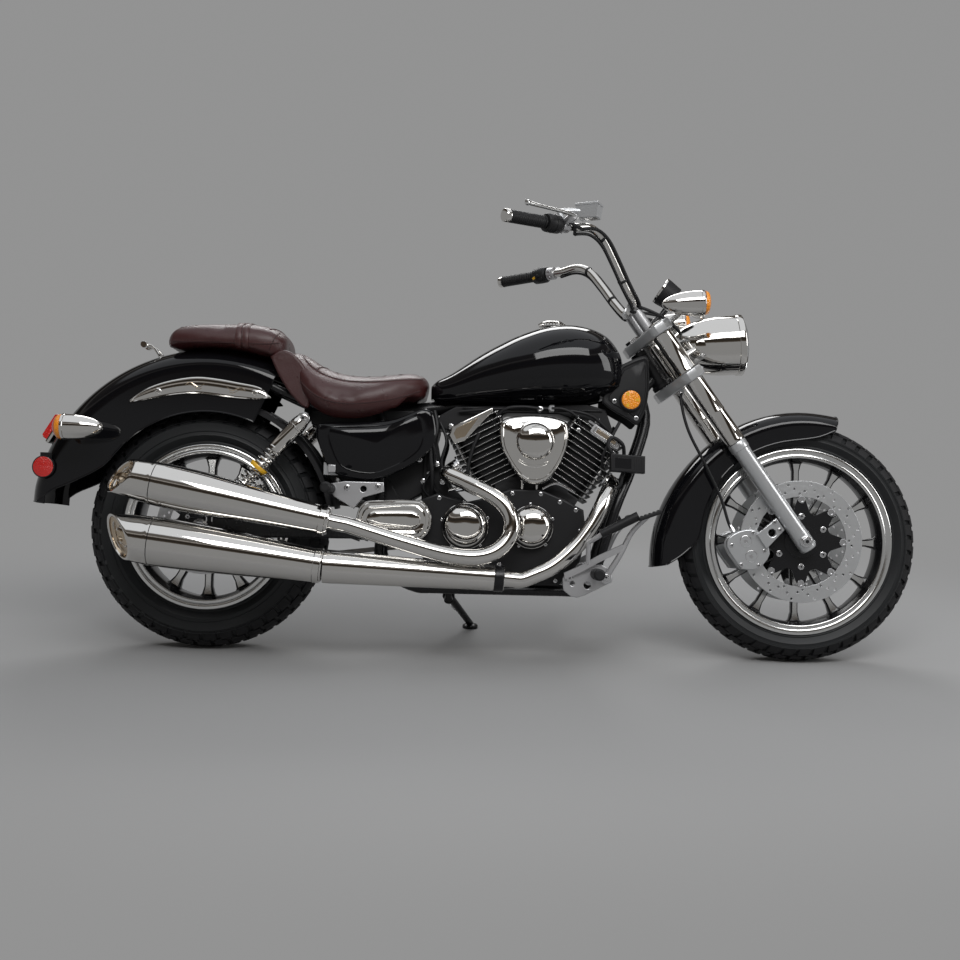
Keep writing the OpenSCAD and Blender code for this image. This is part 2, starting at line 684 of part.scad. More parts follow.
// A finned cylinder with its head, standing up from the deck
module cylinder_block(bank) {
    fin_pitch = (head_h - deck_h) / fins;
    translate([crank_p[0], 0, crank_p[1]]) rotate([0, bank, 0]) {
        translate([-deck_half, -cylinder_w / 2 + 14, deck_h]) cube([2 * deck_half, cylinder_w - 28, head_h - deck_h]);
        for (k = [0:fins - 1])
            translate([-fin_half, -cylinder_w / 2, deck_h + fin_pitch * (k + 0.5)]) cube([2 * fin_half, cylinder_w, 4]);
        translate([-46, -cylinder_w / 2 + 30, head_h - 1]) cube([92, cylinder_w - 60, 13]);
    }
}
module front_cylinder() color([0.15, 0.15, 0.16]) parked() cylinder_block(front_bank);
module rear_cylinder() color([0.15, 0.15, 0.16]) parked() cylinder_block(-rear_bank);

air_y = cylinder_w / 2 + fit;
// The shield-shaped air cleaner: [X, Z]
air_outline = [
    [769, 609], [794, 624], [858, 630], [922, 622], [948, 602], [944, 536], [905, 464], [862, 445], [823, 462], [776, 532], [767, 584]
];
module air_cleaner() color([0.85, 0.85, 0.87])
    parked() difference() {
        union() {
            plate(air_outline, -air_y - 66, -air_y);
            translate([861, -air_y - 66, 558]) rotate([90, 0, 0]) cylinder(h = 16, r = 41);
        }
    }

case_y = crankcase_w / 2 + fit;
module engine_covers_right() color([0.85, 0.85, 0.87])
    parked() {
        turned([685, -case_y, 336], [685, -case_y - 10, 336], dome_rows(62, 44));
        turned([857, -case_y, 338], [857, -case_y - 10, 338], dome_rows(58, 44));
        // The oval cover, outside the swingarm, and its boss on the crankcase
        plate([
            [403, 345], [409, 322], [424, 306], [446, 300], [556, 298], [580, 306], [594, 324], [598, 348], [594, 374],
            [580, 392], [556, 400], [446, 396], [424, 390], [409, 372]
        ], -arm_y - arm_w - 24, -arm_y - arm_w - 2);
        plate([[562, 320], [590, 320], [590, 380], [562, 380]], -arm_y - arm_w - 3, -case_y);
    }
// Turned rows of a dome with a rounded edge
function dome_rows(r, h) = concat([[0, r]], [for (a = [0:15:90]) [10 + (h - 10) * sin(a), max((r - 1) * cos(a), 0.01)]]);

module engine_cover_left() color([0.6, 0.6, 0.62])
    parked() {
        turned([857, case_y, 338], [857, case_y + 10, 338], dome_rows(96, 46));
        plate([[560, 300], [590, 262], [700, 256], [740, 300], [740, 380], [690, 408], [600, 400], [560, 376]], case_y, case_y + 24);
    }

chain_small_p = [602, 330];
chain_r0 = sprocket_r + run;
chain_small_r = 34;
chain_t = 12;
// The chain's outline round its two sprockets, grown by a distance
function chain_outline(grow) =
    let (
        d = [chain_small_p[0], chain_small_p[1] - rear_tyre_r],
        dist = norm(d),
        base = atan2(d[1], d[0]),
        open = acos((chain_r0 - chain_small_r) / dist)
    )
    concat(
        [for (k = [0:12]) let (a = base + open + k * (360 - 2 * open) / 12)
            [(chain_r0 + grow) * cos(a), rear_tyre_r + (chain_r0 + grow) * sin(a)]],
        [for (k = [0:6]) let (a = base - open + k * (2 * open) / 6)
            chain_small_p + (chain_small_r + grow) * [cos(a), sin(a)]]
    );
module drive_chain() color([0.25, 0.25, 0.26])
    parked() {
        difference() {
            plate(chain_outline(chain_t), sprocket_y - 5, sprocket_y + 5);
            plate(chain_outline(0), sprocket_y - 8, sprocket_y + 8);
        }
        // The front sprocket
        translate([chain_small_p[0], 0, chain_small_p[1]]) rotate([-90, 0, 0]) {
            translate([0, 0, sprocket_y - 3]) cylinder(h = 6, r = chain_small_r - fit);
            translate([0, 0, chain_room_y + fit]) cylinder(h = sprocket_y - chain_room_y - 1, r = 16);
        }
    }

// A box on the right front tube, leaning with it
module horn() color([0.05, 0.05, 0.05])
    parked() {
        plate([[1056, 484], [1150, 480], [1150, 530], [1056, 536]], -128, -cylinder_w / 2 - 2);
        rod([1122, -cylinder_w / 2 - 3, 500], [1122, -59.2 - rail_r - fit, 500], 6);
    }

// ---- Exhaust ----

pipe_r = 21;
// A point beside a cylinder, at a height along it and a distance from its middle
function beside(axis, side, h, d, y) = let (q = crank_p + h * axis + d * side) [q[0], y, q[1]];
upper_front = [345, -212, 339];
upper_back = [-192, -212, 442];
upper_in = unit(upper_front - upper_back);
lower_front = [788, -174, 204];
lower_mid = [330, -200, 226];
lower_back = [-196, -202, 291];
lower_in = unit(lower_front - lower_mid);
rear_header_path = [
    for (d = [0.8, 10, 20]) beside(rear_axis, rear_side, 240, -fin_half - d, -56),
    beside(rear_axis, rear_side, 234, -fin_half - 38, -76), [640, -130, 468], [690, -156, 446], [764, -178, 409],
    [799, -188, 368], [804, -196, 322], [776, -206, 280], [722, -216, 258], [640, -218, 263], [520, -216, 293], [400, -212, 328],
    upper_front + 30 * upper_in, upper_front + fit * upper_in
];
module rear_header() color([0.85, 0.85, 0.87])
    parked() tube(curve(rear_header_path, 3), pipe_r, 14);

front_header_path = [
    for (d = [0.8, 7, 14]) beside(front_axis, front_side, 236, fin_half + d, -60),
    beside(front_axis, front_side, 229, fin_half + 26, -84), [1052, -116, 430], [1036, -138, 394], [1008, -150, 340],
    [966, -158, 284], [914, -164, 238], [860, -169, 212],
    for (d = [44, 22, fit]) lower_front + d * lower_in
];
module front_header() color([0.85, 0.85, 0.87])
    parked() tube(curve(front_header_path, 3), pipe_r, 14);

// A tapered muffler from its front to its slash-cut tip; rows are [distance along, radius]
module muffler(front, back, rows, cut) {
    d = back - front;
    translate(front) rotate([0, acos(d[2] / norm(d)), atan2(d[1], d[0])])
        difference() {
            rotate_extrude() polygon(concat([[0, rows[0][0]]], [for (r = rows) [r[1], r[0]]], [[0, rows[len(rows) - 1][0]]]));
            translate([0, 0, norm(d) - 90]) cylinder(h = 300, r = rows[len(rows) - 1][1] - 8);
            // The tip is cut at a slant
            translate([0, 0, norm(d)]) rotate([0, cut, 0]) translate([0, 0, 100]) cube([400, 400, 200], center = true);
        }
}

module upper_muffler() color([0.85, 0.85, 0.87])
    parked() muffler(upper_front, upper_back, [
        [0, 26], [4, 36], [40, 38], [170, upper_muffler_r - 12], [330, upper_muffler_r - 1], [430, upper_muffler_r],
        [500, upper_muffler_r - 5], [600, upper_muffler_r - 14]
    ], -40);

module lower_muffler() color([0.85, 0.85, 0.87])
    parked() {
        muffler(lower_mid, lower_back, [
            [0, 36], [6, 42], [60, 46], [220, lower_muffler_r - 6], [360, lower_muffler_r], [440, lower_muffler_r],
            [500, lower_muffler_r - 4], [600, lower_muffler_r - 12]
        ], 40);
        turned(lower_front, lower_mid, [[0, 32], [60, 33], [440, 43], [462, 43]]);
    }

// ---- Controls at the feet ----

foot_y = cradle_y + rail_r + fit;
foot_p = [1005, 205];
module foot_controls() color([0.6, 0.6, 0.62])
    parked() both_sides() {
        plate([[940, 178], [945, 222], [1035, 246], [1064, 208], [1040, 190], [974, 160]], foot_y + 52, foot_y + 64);
        rod([foot_p[0], foot_y, foot_p[1]], [foot_p[0], foot_y + 56, foot_p[1]], 13);
        rod([foot_p[0] + 15, foot_y + 60, 222], [foot_p[0] + 15, foot_y + 190, 222], 15);
        tube(curve([[1046, foot_y + 72, 214], [1080, foot_y + 76, 270], [1110, foot_y + 78, 330], [1150, foot_y + 96, 372]], 3), 8, 8);
        rod([1046, foot_y + 60, 214], [1046, foot_y + 82, 214], 10);
        rod([1150, foot_y + 90, 372], [1150, foot_y + 150, 372], 12);
    }

module rear_pegs() color([0.5, 0.5, 0.52])
    parked() both_sides() {
        plate([[318, 438], [372, 445], [472, 444], [474, 418], [420, 404], [396, 372], [345, 404]], side_cover_y + 20, side_cover_y + 30);
        rod([336, side_cover_y + 26, 424], [336, side_cover_y + 150, 424], 14);
        rod([upright_x - 2, upright_y + rail_r + fit, 430], [upright_x - 2, side_cover_y + 22, 430], 9);
    }

// ---- Side stand ----

// Where the stand pivots on the frame, and where its foot meets the ground when it is down
stand_pivot = [640, 128, 150];
foot_y0 = 262;
foot_pad_r = 22;
stand_foot = [700, foot_y0, roll_z + (foot_y0 * sin(lean) - roll_z) / cos(lean)];
stand_axis = unit([0, 0.80, 0.60]);
module side_stand() color([0.05, 0.05, 0.05])
    parked() {
        rod(stand_pivot - 12 * stand_axis, stand_pivot + 12 * stand_axis, 17);
        rod(stand_pivot + [0, 4, -4], stand_foot + [0, -6, 12], 11);
        // The foot lies flat on the ground when the bike leans on it
        translate(stand_foot) rotate([lean, 0, 0]) cylinder(h = 12, r = foot_pad_r);
    }

// ---- Fork and what turns with it ----

module yokes() color([0.6, 0.6, 0.62])
    parked() fork_frame() {
        for (z = [lower_yoke_z, upper_yoke_z])
            translate([0, 0, z]) difference() {
                linear_extrude(height = yoke_t) polygon([
                    [-fork_offset - 34, -24], [-fork_offset - 34, 24], [-fork_offset - 10, 40], [-30, leg_y + 22], [-12, leg_y + 36], [14, leg_y + 36],
                    [34, leg_y + 18], [34, leg_y - 14], [18, leg_y - 30], [8, 0], [18, -leg_y + 30], [34, -leg_y + 14], [34, -leg_y - 18],
                    [14, -leg_y - 36], [-12, -leg_y - 36], [-30, -leg_y - 22], [-fork_offset - 10, -40]
                ]);
                for (s = [-1, 1]) translate([0, s * leg_y, -1]) cylinder(h = yoke_t + 2, r = 20 + fit);
            }
        translate([-fork_offset, 0, lower_yoke_z + 2]) cylinder(h = yoke_gap + 10, r = stem_r);
        // The two posts that hold the handlebar
        for (s = [-1, 1])
            translate([bar_x, s * 52, upper_yoke_z + yoke_t - 1]) cylinder(h = bar_z - bar_r - fit - upper_yoke_z - yoke_t + 1, r = 15);
    }

module fork_covers() color([0.85, 0.85, 0.87])
    parked() fork_frame() for (s = [-1, 1]) translate([0, s * leg_y, 0]) {
        translate([0, 0, 312]) cylinder(h = lower_yoke_z - fit - 312, r = fork_cover_r);
        translate([0, 0, 312]) cylinder(h = upper_yoke_z + yoke_t + 6 - 312, r = 20);
        translate([0, 0, lower_yoke_z + yoke_t + fit]) cylinder(h = yoke_gap - yoke_t - 2 * fit, r = fork_cover_r);
    }

module fork_legs() color([0.6, 0.6, 0.62])
    parked() fork_frame() for (s = [-1, 1]) translate([0, s * leg_y, 0])
        difference() {
            union() {
                translate([0, 0, -26]) cylinder(h = 312 - fit + 26, r = fork_leg_r);
                translate([0, 0, 290]) cylinder(h = 22 - fit, r = fork_leg_r + 2);
                // Boss for the fender
                translate([0, -s * (leg_y - front_fender_w / 2 - fit), front_tyre_r - 30]) rotate([-s * 90, 0, 0]) cylinder(h = 30, r = 11);
            }
            rotate([90, 0, 0]) cylinder(h = 100, r = axle_r + axle_fit, center = true);
        }

front_axle_l = 2 * (leg_y + fork_leg_r) + 18;
module front_axle() color([0.7, 0.7, 0.72])
    parked() translate(front_axle_p) rotate([90, 0, 0])
        difference() {
            union() {
                cylinder(h = front_axle_l, r = axle_r, center = true);
                for (m = [0, 1]) mirror([0, 0, m]) translate([0, 0, leg_y + fork_leg_r + fit]) cylinder(h = 8, r = 14);
            }
            cylinder(h = front_axle_l + 2, r = 5, center = true);
        }

// The handlebar, in the fork's frame: its middle, then its right half out to the end
bar_x = -11;
bar_z = 762;
end_y = bar_width / 2;
// Rows are forward, left and up from the bar's middle
elbow_y = end_y - 127;
bar_rows = [
    [0, 0, 0], [0, 66, 0], [-9, 98, 11], [-36, 128, 50], [-66, 160, 100], [-98, 194, 146], [-132, elbow_y - 28, 164],
    [-172, elbow_y, 158], [-185, elbow_y + 9.4, 157.5], [-348, end_y, 151]
];
function turned_in(p) = [p * across_dir, p[1], p * steer_dir];
bar_half = [for (p = bar_rows) [bar_x, 0, bar_z] + turned_in(p)];
bar_curve = curve(bar_half, 2);
module handlebar() color([0.85, 0.85, 0.87])
    parked() fork_frame()
        tube(concat([for (i = [len(bar_curve) - 1:-1:1]) [bar_curve[i][0], -bar_curve[i][1], bar_curve[i][2]]], bar_curve), bar_r, 12, [1, 0, 0.2]);

bar_end = bar_half[len(bar_half) - 1];
bar_elbow = bar_half[len(bar_half) - 2];
bar_dir = unit(bar_end - bar_elbow);
grip_l = 118;
module grips() color([0.04, 0.04, 0.04])
    parked() fork_frame() both_sides()
        rod(bar_end - grip_l * bar_dir, bar_end + 6 * bar_dir, grip_r, bar_r + fit);

// Switch housings next to the grips
module switch_housings() color([0.04, 0.04, 0.04])
    parked() fork_frame() both_sides()
        rod(bar_end - (grip_l + 48) * bar_dir, bar_end - (grip_l + 2) * bar_dir, 24, bar_r + fit);

// Across the bar and away from the rider, and the third direction square to both
lever_out = unit(cross(bar_dir, [0, 0, 1]));
lever_up = cross(lever_out, bar_dir);
function bar_point(along, out, up) = bar_end - along * bar_dir + out * lever_out + up * lever_up;
perch_at = grip_l + 62;
// The clutch and brake levers with their perches, and the brake's reservoir
module levers() color([0.8, 0.8, 0.82])
    parked() fork_frame() both_sides() {
        rod(bar_point(perch_at + 11, 0, 0), bar_point(perch_at - 11, 0, 0), 18, bar_r + fit);
        rod(bar_point(perch_at, 14, 0), bar_point(perch_at, 46, 0), 12);
        tube(curve([
            bar_point(perch_at + 4, 42, 0), bar_point(perch_at - 30, 50, 0), bar_point(perch_at - 80, 56, -2), bar_point(perch_at - 130, 62, -4),
            bar_point(10, 66, -4)
        ], 2), 6, 8, [0.3, 0.1, 1]);
    }
reservoir_p = bar_point(perch_at + 66, 34, 30);
module brake_reservoir() color([0.6, 0.6, 0.62])
    parked() fork_frame() mirror([0, 1, 0]) {
        // It stands upright above the bar, on an arm from its perch
        translate(reservoir_p) rotate([0, rake, 0]) rotate([0, 0, 24]) cube([62, 42, 40], center = true);
        rod(bar_point(perch_at, 0, 18 + fit), bar_point(perch_at, 0, 46), 8);
        rod(bar_point(perch_at, 0, 40), reservoir_p, 8);
    }

light_p = fork_p([108, 0, lower_yoke_z + 54.5]);
module headlight_shell() color([0.85, 0.85, 0.87])
    parked() {
        turned(light_p - [110, 0, 8], light_p + [200, 0, 14.5], concat(
            [for (a = [0:10:90]) [150 * (1 - cos(a)), max(headlight_r * sin(a), 0.01)]], [[186, headlight_r + 3], [198, headlight_r + 3]]
        ));
        // The bracket to the yokes
        for (s = [-1, 1])
            rod(fork_p([75, s * 55, lower_yoke_z + 67]),
                fork_p([0.78 * (fork_cover_r + 1.2), s * (leg_y - 0.62 * (fork_cover_r + 1.2)), lower_yoke_z + 67]), 8);
    }
module headlight_lens() color([0.8, 0.85, 0.9, 0.6])
    parked() turned(light_p + [87.9, 0, 6.4], light_p + [200, 0, 14.5], [[0, headlight_r - 4], [6, headlight_r - 6], [14, headlight_r * 0.6], [17, 0.01]]);

front_signal_p = fork_p([125.6, leg_y + 57, upper_yoke_z + 0.7]);
module front_signals() color([0.85, 0.85, 0.87])
    parked() both_sides() {
        turned(front_signal_p - [110, 0, 6], front_signal_p, concat(bullet_rows(96, signal_r), [[109, signal_r]]));
        rod(front_signal_p + [-56, -12, -20], fork_p([34 + 6.3, leg_y - 3, upper_yoke_z + 14]), 7);
    }
module front_signal_lenses() color([0.95, 0.5, 0.1])
    parked() both_sides()
        turned(front_signal_p + [fit, 0, 0], front_signal_p + [30, 0, 0], [[0, signal_r - 2], [8, signal_r - 4], [14, 16], [16, 0.01]]);

module instrument() color([0.06, 0.06, 0.06])
    parked() {
        turned(fork_p([105, 0, upper_yoke_z + 58]), fork_p([86.4, 0, upper_yoke_z + 108]), [[0, 20], [6, 34], [44, 38], [50, 38]]);
        rod(fork_p([103, 0, upper_yoke_z + 62]), fork_p([-5, 0, upper_yoke_z + yoke_t + 8.2]), 8);
    }

caliper_p = [-118, 60];
module front_calipers() color([0.6, 0.6, 0.62])
    parked() fork_frame() both_sides()
        difference() {
            union() {
                translate([caliper_p[0], 0, caliper_p[1]])
                    plate([[-58, -32], [-20, -54], [30, -40], [40, 10], [26, 44], [-20, 60], [-56, 44]], front_disc_y - 22, front_disc_y + 26);
                // The arm to the fork leg
                plate([[-92, 36], [-fork_leg_r - fit, 52], [-fork_leg_r - fit, 92], [-92, 84]], front_disc_y + 16, leg_y + 4);
            }
            disc_slot(front_disc_r, front_disc_y);
        }

hose_y = front_disc_y + 17;
brake_hose_path = [
    [-34, -80, lower_yoke_z - 2.8], [-56, -86, 478], [-84, -92, 404], [-98, -hose_y - 4, 300], [-112, -hose_y, 214],
    [-132, -hose_y, 150], [caliper_p[0] - 18, -hose_y, caliper_p[1] + 60 + 2 * fit]
];
module brake_hoses() color([0.03, 0.03, 0.03])
    parked() fork_frame() tube(curve(brake_hose_path, 3), 4, 8);

// ---- The model ----

frame_tubes();
steering_head();
under_seat_box();
side_covers();
neck_covers();
neck_reflectors();
fuel_tank();
fuel_cap();
front_seat();
rear_seat();
seat_strap();
rear_fender();
fender_rails();
rear_signals();
rear_signal_lenses();
tail_lamp();
rear_reflectors();
swingarm();
rear_axle();
rear_shocks();
rear_caliper();
crankcase();
front_cylinder();
rear_cylinder();
air_cleaner();
engine_covers_right();
engine_cover_left();
drive_chain();
horn();
rear_header();
front_header();
upper_muffler();
lower_muffler();
foot_controls();
rear_pegs();
side_stand();
yokes();
fork_covers();
fork_legs();
front_axle();
handlebar();
grips();
switch_housings();
levers();
brake_reservoir();
headlight_shell();
headlight_lens();
front_signals();
front_signal_lenses();
instrument();
front_fender();
front_calipers();
brake_hoses();
front_tyre();
front_rim();
front_discs();
rear_tyre();
rear_rim();
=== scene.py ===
import json
import math

import bmesh
import bpy
from mathutils import Matrix, Vector
from mathutils.bvhtree import BVHTree


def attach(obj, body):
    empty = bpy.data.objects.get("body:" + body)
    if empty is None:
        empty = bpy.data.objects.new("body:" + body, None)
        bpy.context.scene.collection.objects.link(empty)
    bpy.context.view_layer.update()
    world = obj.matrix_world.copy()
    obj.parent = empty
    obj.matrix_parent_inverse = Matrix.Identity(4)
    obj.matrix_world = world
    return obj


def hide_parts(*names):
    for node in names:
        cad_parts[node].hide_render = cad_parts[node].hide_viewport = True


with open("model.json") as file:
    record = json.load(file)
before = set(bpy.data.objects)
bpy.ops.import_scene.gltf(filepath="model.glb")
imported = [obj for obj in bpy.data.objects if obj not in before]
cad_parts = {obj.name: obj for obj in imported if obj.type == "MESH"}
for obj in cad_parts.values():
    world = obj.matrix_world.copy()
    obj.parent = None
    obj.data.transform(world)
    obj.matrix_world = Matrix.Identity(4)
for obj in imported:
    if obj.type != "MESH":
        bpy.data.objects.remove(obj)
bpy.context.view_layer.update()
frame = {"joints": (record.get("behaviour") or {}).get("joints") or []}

# ---- Places and sizes, in millimetres: X forward from the rear axle, Y left, Z up from the ground ----

MM = 0.001
JOINTS = {j["name"]: j for j in frame["joints"]}
REAR_AXLE = Vector(JOINTS["rear_wheel_spin"]["pos_m"])
FRONT_AXLE = Vector(JOINTS["front_wheel_spin"]["pos_m"])
SPIN = Vector(JOINTS["rear_wheel_spin"]["axis"])
LEAN = math.atan2(-SPIN.z, SPIN.y)
RAKE = math.asin(-JOINTS["steering"]["axis"][0])
WHEELBASE = (FRONT_AXLE.x - REAR_AXLE.x) / MM
REAR_R, REAR_W, REAR_RIM = 320, 138, 218
FRONT_R, FRONT_W, FRONT_RIM = 316.5, 108, 246
FORK_OFFSET, LEG_Y, LOWER_YOKE, UPPER_YOKE, YOKE_T = 55, 103, 508, 656, 28
TANK_W, FRONT_SEAT_W, REAR_SEAT_W = 288, 320, 250
REAR_FENDER_R, REAR_FENDER_W, FRONT_FENDER_W = 480, 194, 134

UPRIGHT = Matrix.Rotation(-LEAN, 4, "X")
# From the upright bike's millimetres, and from the fork's (forward, left, up along it), to the row frame
BIKE = Matrix.Translation(REAR_AXLE) @ UPRIGHT @ Matrix.Scale(MM, 4) @ Matrix.Translation((0, 0, -REAR_R))
FORK = Matrix.Translation(FRONT_AXLE) @ UPRIGHT @ Matrix.Rotation(-RAKE, 4, "Y") @ Matrix.Scale(MM, 4)
FORK_IN_BIKE = BIKE.inverted() @ FORK


def fork_p(x, y, z):
    """A point of the fork's own frame, in the bike's frame."""
    return FORK_IN_BIKE @ Vector((x, y, z))


# ---- Camera, light and floor ----

BACKDROP = 0.29


def set_camera():
    data = bpy.data.cameras.new("camera")
    data.lens = 46.0
    data.sensor_width = 36.0
    camera = bpy.data.objects.new("camera", data)
    bpy.context.scene.collection.objects.link(camera)
    turn = Matrix.Rotation(math.radians(0.307), 4, "Z") @ Matrix.Rotation(math.radians(-7.85), 4, "X")
    turn = turn @ Matrix.Rotation(math.radians(-1.28), 4, "Y") @ Matrix.Rotation(math.radians(90), 4, "X")
    camera.matrix_world = Matrix.Translation((0.0315, -3.389, 0.907)) @ turn
    bpy.context.scene.camera = camera


def set_world():
    """A studio: one even tone at eye level, a dark band above it and a bright ceiling, by direction alone."""
    world = bpy.data.worlds.new("studio")
    bpy.context.scene.world = world
    world.use_nodes = True
    nodes, links = world.node_tree.nodes, world.node_tree.links
    nodes.clear()
    coord = nodes.new("ShaderNodeTexCoord")
    split = nodes.new("ShaderNodeSeparateXYZ")
    ramp = nodes.new("ShaderNodeValToRGB")
    raised = nodes.new("ShaderNodeMath")
    raised.operation = "MULTIPLY_ADD"
    raised.inputs[1].default_value = 0.5
    raised.inputs[2].default_value = 0.5
    background = nodes.new("ShaderNodeBackground")
    out = nodes.new("ShaderNodeOutputWorld")
    warm, cool = (0.055, 0.042, 0.030), (0.80, 0.82, 0.85)
    even = (BACKDROP,) * 3
    stops = [(0.0, even), (0.635, even), (0.655, warm), (0.72, (0.02, 0.018, 0.016)), (0.76, warm),
        (0.78, (0.42, 0.40, 0.38)),
             (0.80, (0.10, 0.09, 0.08)), (0.86, (0.12, 0.11, 0.10)), (0.88, cool), (1.0, cool)]
    elements = ramp.color_ramp.elements
    while len(elements) < len(stops):
        elements.new(0.5)
    for element, (place, tone) in zip(elements, stops):
        element.position = place
        element.color = (*tone, 1)
    links.new(coord.outputs["Generated"], split.inputs[0])
    links.new(split.outputs["Z"], raised.inputs[0])
    links.new(raised.outputs[0], ramp.inputs["Fac"])
    links.new(ramp.outputs["Color"], background.inputs["Color"])
    links.new(background.outputs[0], out.inputs[0])


def add_lamp(name, place, target, size, watts):
    data = bpy.data.lights.new(name, "AREA")
    data.shape = "RECTANGLE"
    data.size, data.size_y = size
    data.energy = watts
    lamp = bpy.data.objects.new(name, data)
    bpy.context.scene.collection.objects.link(lamp)
    lamp.location = place
    lamp.rotation_euler = (Vector(target) - Vector(place)).to_track_quat("-Z", "Y").to_euler()


def set_floor():
    """A wide floor that takes on the studio's even tone away from the bike."""
    mesh = bpy.data.meshes.new("floor")
    half = 40.0
    mesh.from_pydata([(-half, -half, 0), (half, -half, 0), (half, half, 0), (-half, half, 0)], [], [(0, 1, 2, 3)])
    floor = bpy.data.objects.new("floor", mesh)
    bpy.context.scene.collection.objects.link(floor)
    mat = bpy.data.materials.new("floor")
    mat.use_nodes = True
    nodes, links = mat.node_tree.nodes, mat.node_tree.links
    shader = nodes["Principled BSDF"]
    shader.inputs["Base Color"].default_value = (0.31, 0.31, 0.31, 1)
    shader.inputs["Roughness"].default_value = 0.75
    shader.inputs["Specular IOR Level"].default_value = 0.2
    glow = nodes.new("ShaderNodeEmission")
    glow.inputs["Color"].default_value = (BACKDROP, BACKDROP, BACKDROP, 1)
    coord = nodes.new("ShaderNodeTexCoord")
    length = nodes.new("ShaderNodeVectorMath")
    length.operation = "LENGTH"
    fade = nodes.new("ShaderNodeMapRange")
    fade.interpolation_type = "SMOOTHERSTEP"
    fade.inputs["From Min"].default_value = 0.75
    fade.inputs["From Max"].default_value = 1.9
    squash = nodes.new("ShaderNodeVectorMath")
    squash.operation = "MULTIPLY"
    squash.inputs[1].default_value = (0.6, 1, 1)
    mix = nodes.new("ShaderNodeMixShader")
    links.new(coord.outputs["Object"], squash.inputs[0])
    links.new(squash.outputs[0], length.inputs[0])
    links.new(length.outputs["Value"], fade.inputs["Value"])
    links.new(fade.outputs[0], mix.inputs["Fac"])
    links.new(shader.outputs[0], mix.inputs[1])
    links.new(glow.outputs[0], mix.inputs[2])
    links.new(mix.outputs[0], nodes["Material Output"].inputs["Surface"])
    mesh.materials.append(mat)


set_camera()
set_world()
set_floor()
add_lamp("key", (0.6, -2.6, 3.2), (0, 0, 0.4), (3.2, 1.2), 75)
add_lamp("back", (-0.4, 2.8, 3.0), (0, 0, 0.5), (3.2, 1.0), 60)
add_lamp("side", (3.4, -1.2, 1.9), (0, 0, 0.5), (1.0, 2.0), 28)
bpy.context.scene.view_settings.view_transform = "Standard"

# ---- Materials ----


def noise(tree, scale, detail=3.0, kind="ShaderNodeTexNoise"):
    """A texture in the piece's own coordinates, so it moves with the piece."""
    coord = tree.nodes.new("ShaderNodeTexCoord")
    texture = tree.nodes.new(kind)
    texture.inputs["Scale"].default_value = scale
    if "Detail" in texture.inputs:
        texture.inputs["Detail"].default_value = detail
    tree.links.new(coord.outputs["Object"], texture.inputs["Vector"])
    return texture


def finish(name, color, rough, metallic=0.0, coat=0.0, spread=0.06, rough_spread=0.05, broad=14.0,
           grain=900.0, bump=0.0, kind="ShaderNodeTexNoise", transmission=0.0, ior=1.5, specular=0.5):
    """A material whose colour and roughness drift over a broad scale, with a fine relief."""
    mat = bpy.data.materials.new(name)
    mat.use_nodes = True
    tree = mat.node_tree
    shader = tree.nodes["Principled BSDF"]
    shader.inputs["Metallic"].default_value = metallic
    shader.inputs["Coat Weight"].default_value = coat
    shader.inputs["Coat Roughness"].default_value = 0.03
    shader.inputs["IOR"].default_value = ior
    shader.inputs["Specular IOR Level"].default_value = specular
    shader.inputs["Transmission Weight"].default_value = transmission
    drift = noise(tree, broad)
    shade = tree.nodes.new("ShaderNodeMix")
    shade.data_type = "RGBA"
    shade.inputs[6].default_value = (*[c * (1 - spread) for c in color], 1)
    shade.inputs[7].default_value = (*[min(c * (1 + spread), 1) for c in color], 1)
    tree.links.new(drift.outputs[0], shade.inputs[0])
    tree.links.new(shade.outputs[2], shader.inputs["Base Color"])
    polish = tree.nodes.new("ShaderNodeMapRange")
    polish.inputs["To Min"].default_value = max(rough - rough_spread, 0.02)
    polish.inputs["To Max"].default_value = min(rough + rough_spread, 1)
    patches = noise(tree, broad * 4, 5.0)
    tree.links.new(patches.outputs[0], polish.inputs["Value"])
    tree.links.new(polish.outputs[0], shader.inputs["Roughness"])
    if bump:
        relief = noise(tree, grain, 2.0, kind)
        height = tree.nodes.new("ShaderNodeBump")
        height.inputs["Strength"].default_value = bump
        height.inputs["Distance"].default_value = 0.6 / grain
        tree.links.new(relief.outputs["Distance" if kind == "ShaderNodeTexVoronoi" else 0], height.inputs["Height"])
        tree.links.new(height.outputs[0], shader.inputs["Normal"])
    return mat


def ringed(mat, centre, pitch, strength):
    """Adds fine circular marks about a wheel's axle, as turning and grinding leave."""
    tree = mat.node_tree
    coord = tree.nodes.new("ShaderNodeTexCoord")
    offset = tree.nodes.new("ShaderNodeVectorMath")
    offset.operation = "SUBTRACT"
    offset.inputs[1].default_value = centre
    across = tree.nodes.new("ShaderNodeVectorMath")
    across.operation = "CROSS_PRODUCT"
    across.inputs[1].default_value = SPIN
    radius = tree.nodes.new("ShaderNodeVectorMath")
    radius.operation = "LENGTH"
    marks = tree.nodes.new("ShaderNodeTexNoise")
    marks.noise_dimensions = "1D"
    marks.inputs["Scale"].default_value = 1 / pitch
    height = tree.nodes.new("ShaderNodeBump")
    height.inputs["Strength"].default_value = strength
    height.inputs["Distance"].default_value = pitch
    tree.links.new(coord.outputs["Object"], offset.inputs[0])
    tree.links.new(offset.outputs[0], across.inputs[0])
    tree.links.new(across.outputs[0], radius.inputs[0])
    tree.links.new(radius.outputs["Value"], marks.inputs["W"])
    tree.links.new(marks.outputs[0], height.inputs["Height"])
    tree.links.new(height.outputs[0], tree.nodes["Principled BSDF"].inputs["Normal"])
    return mat


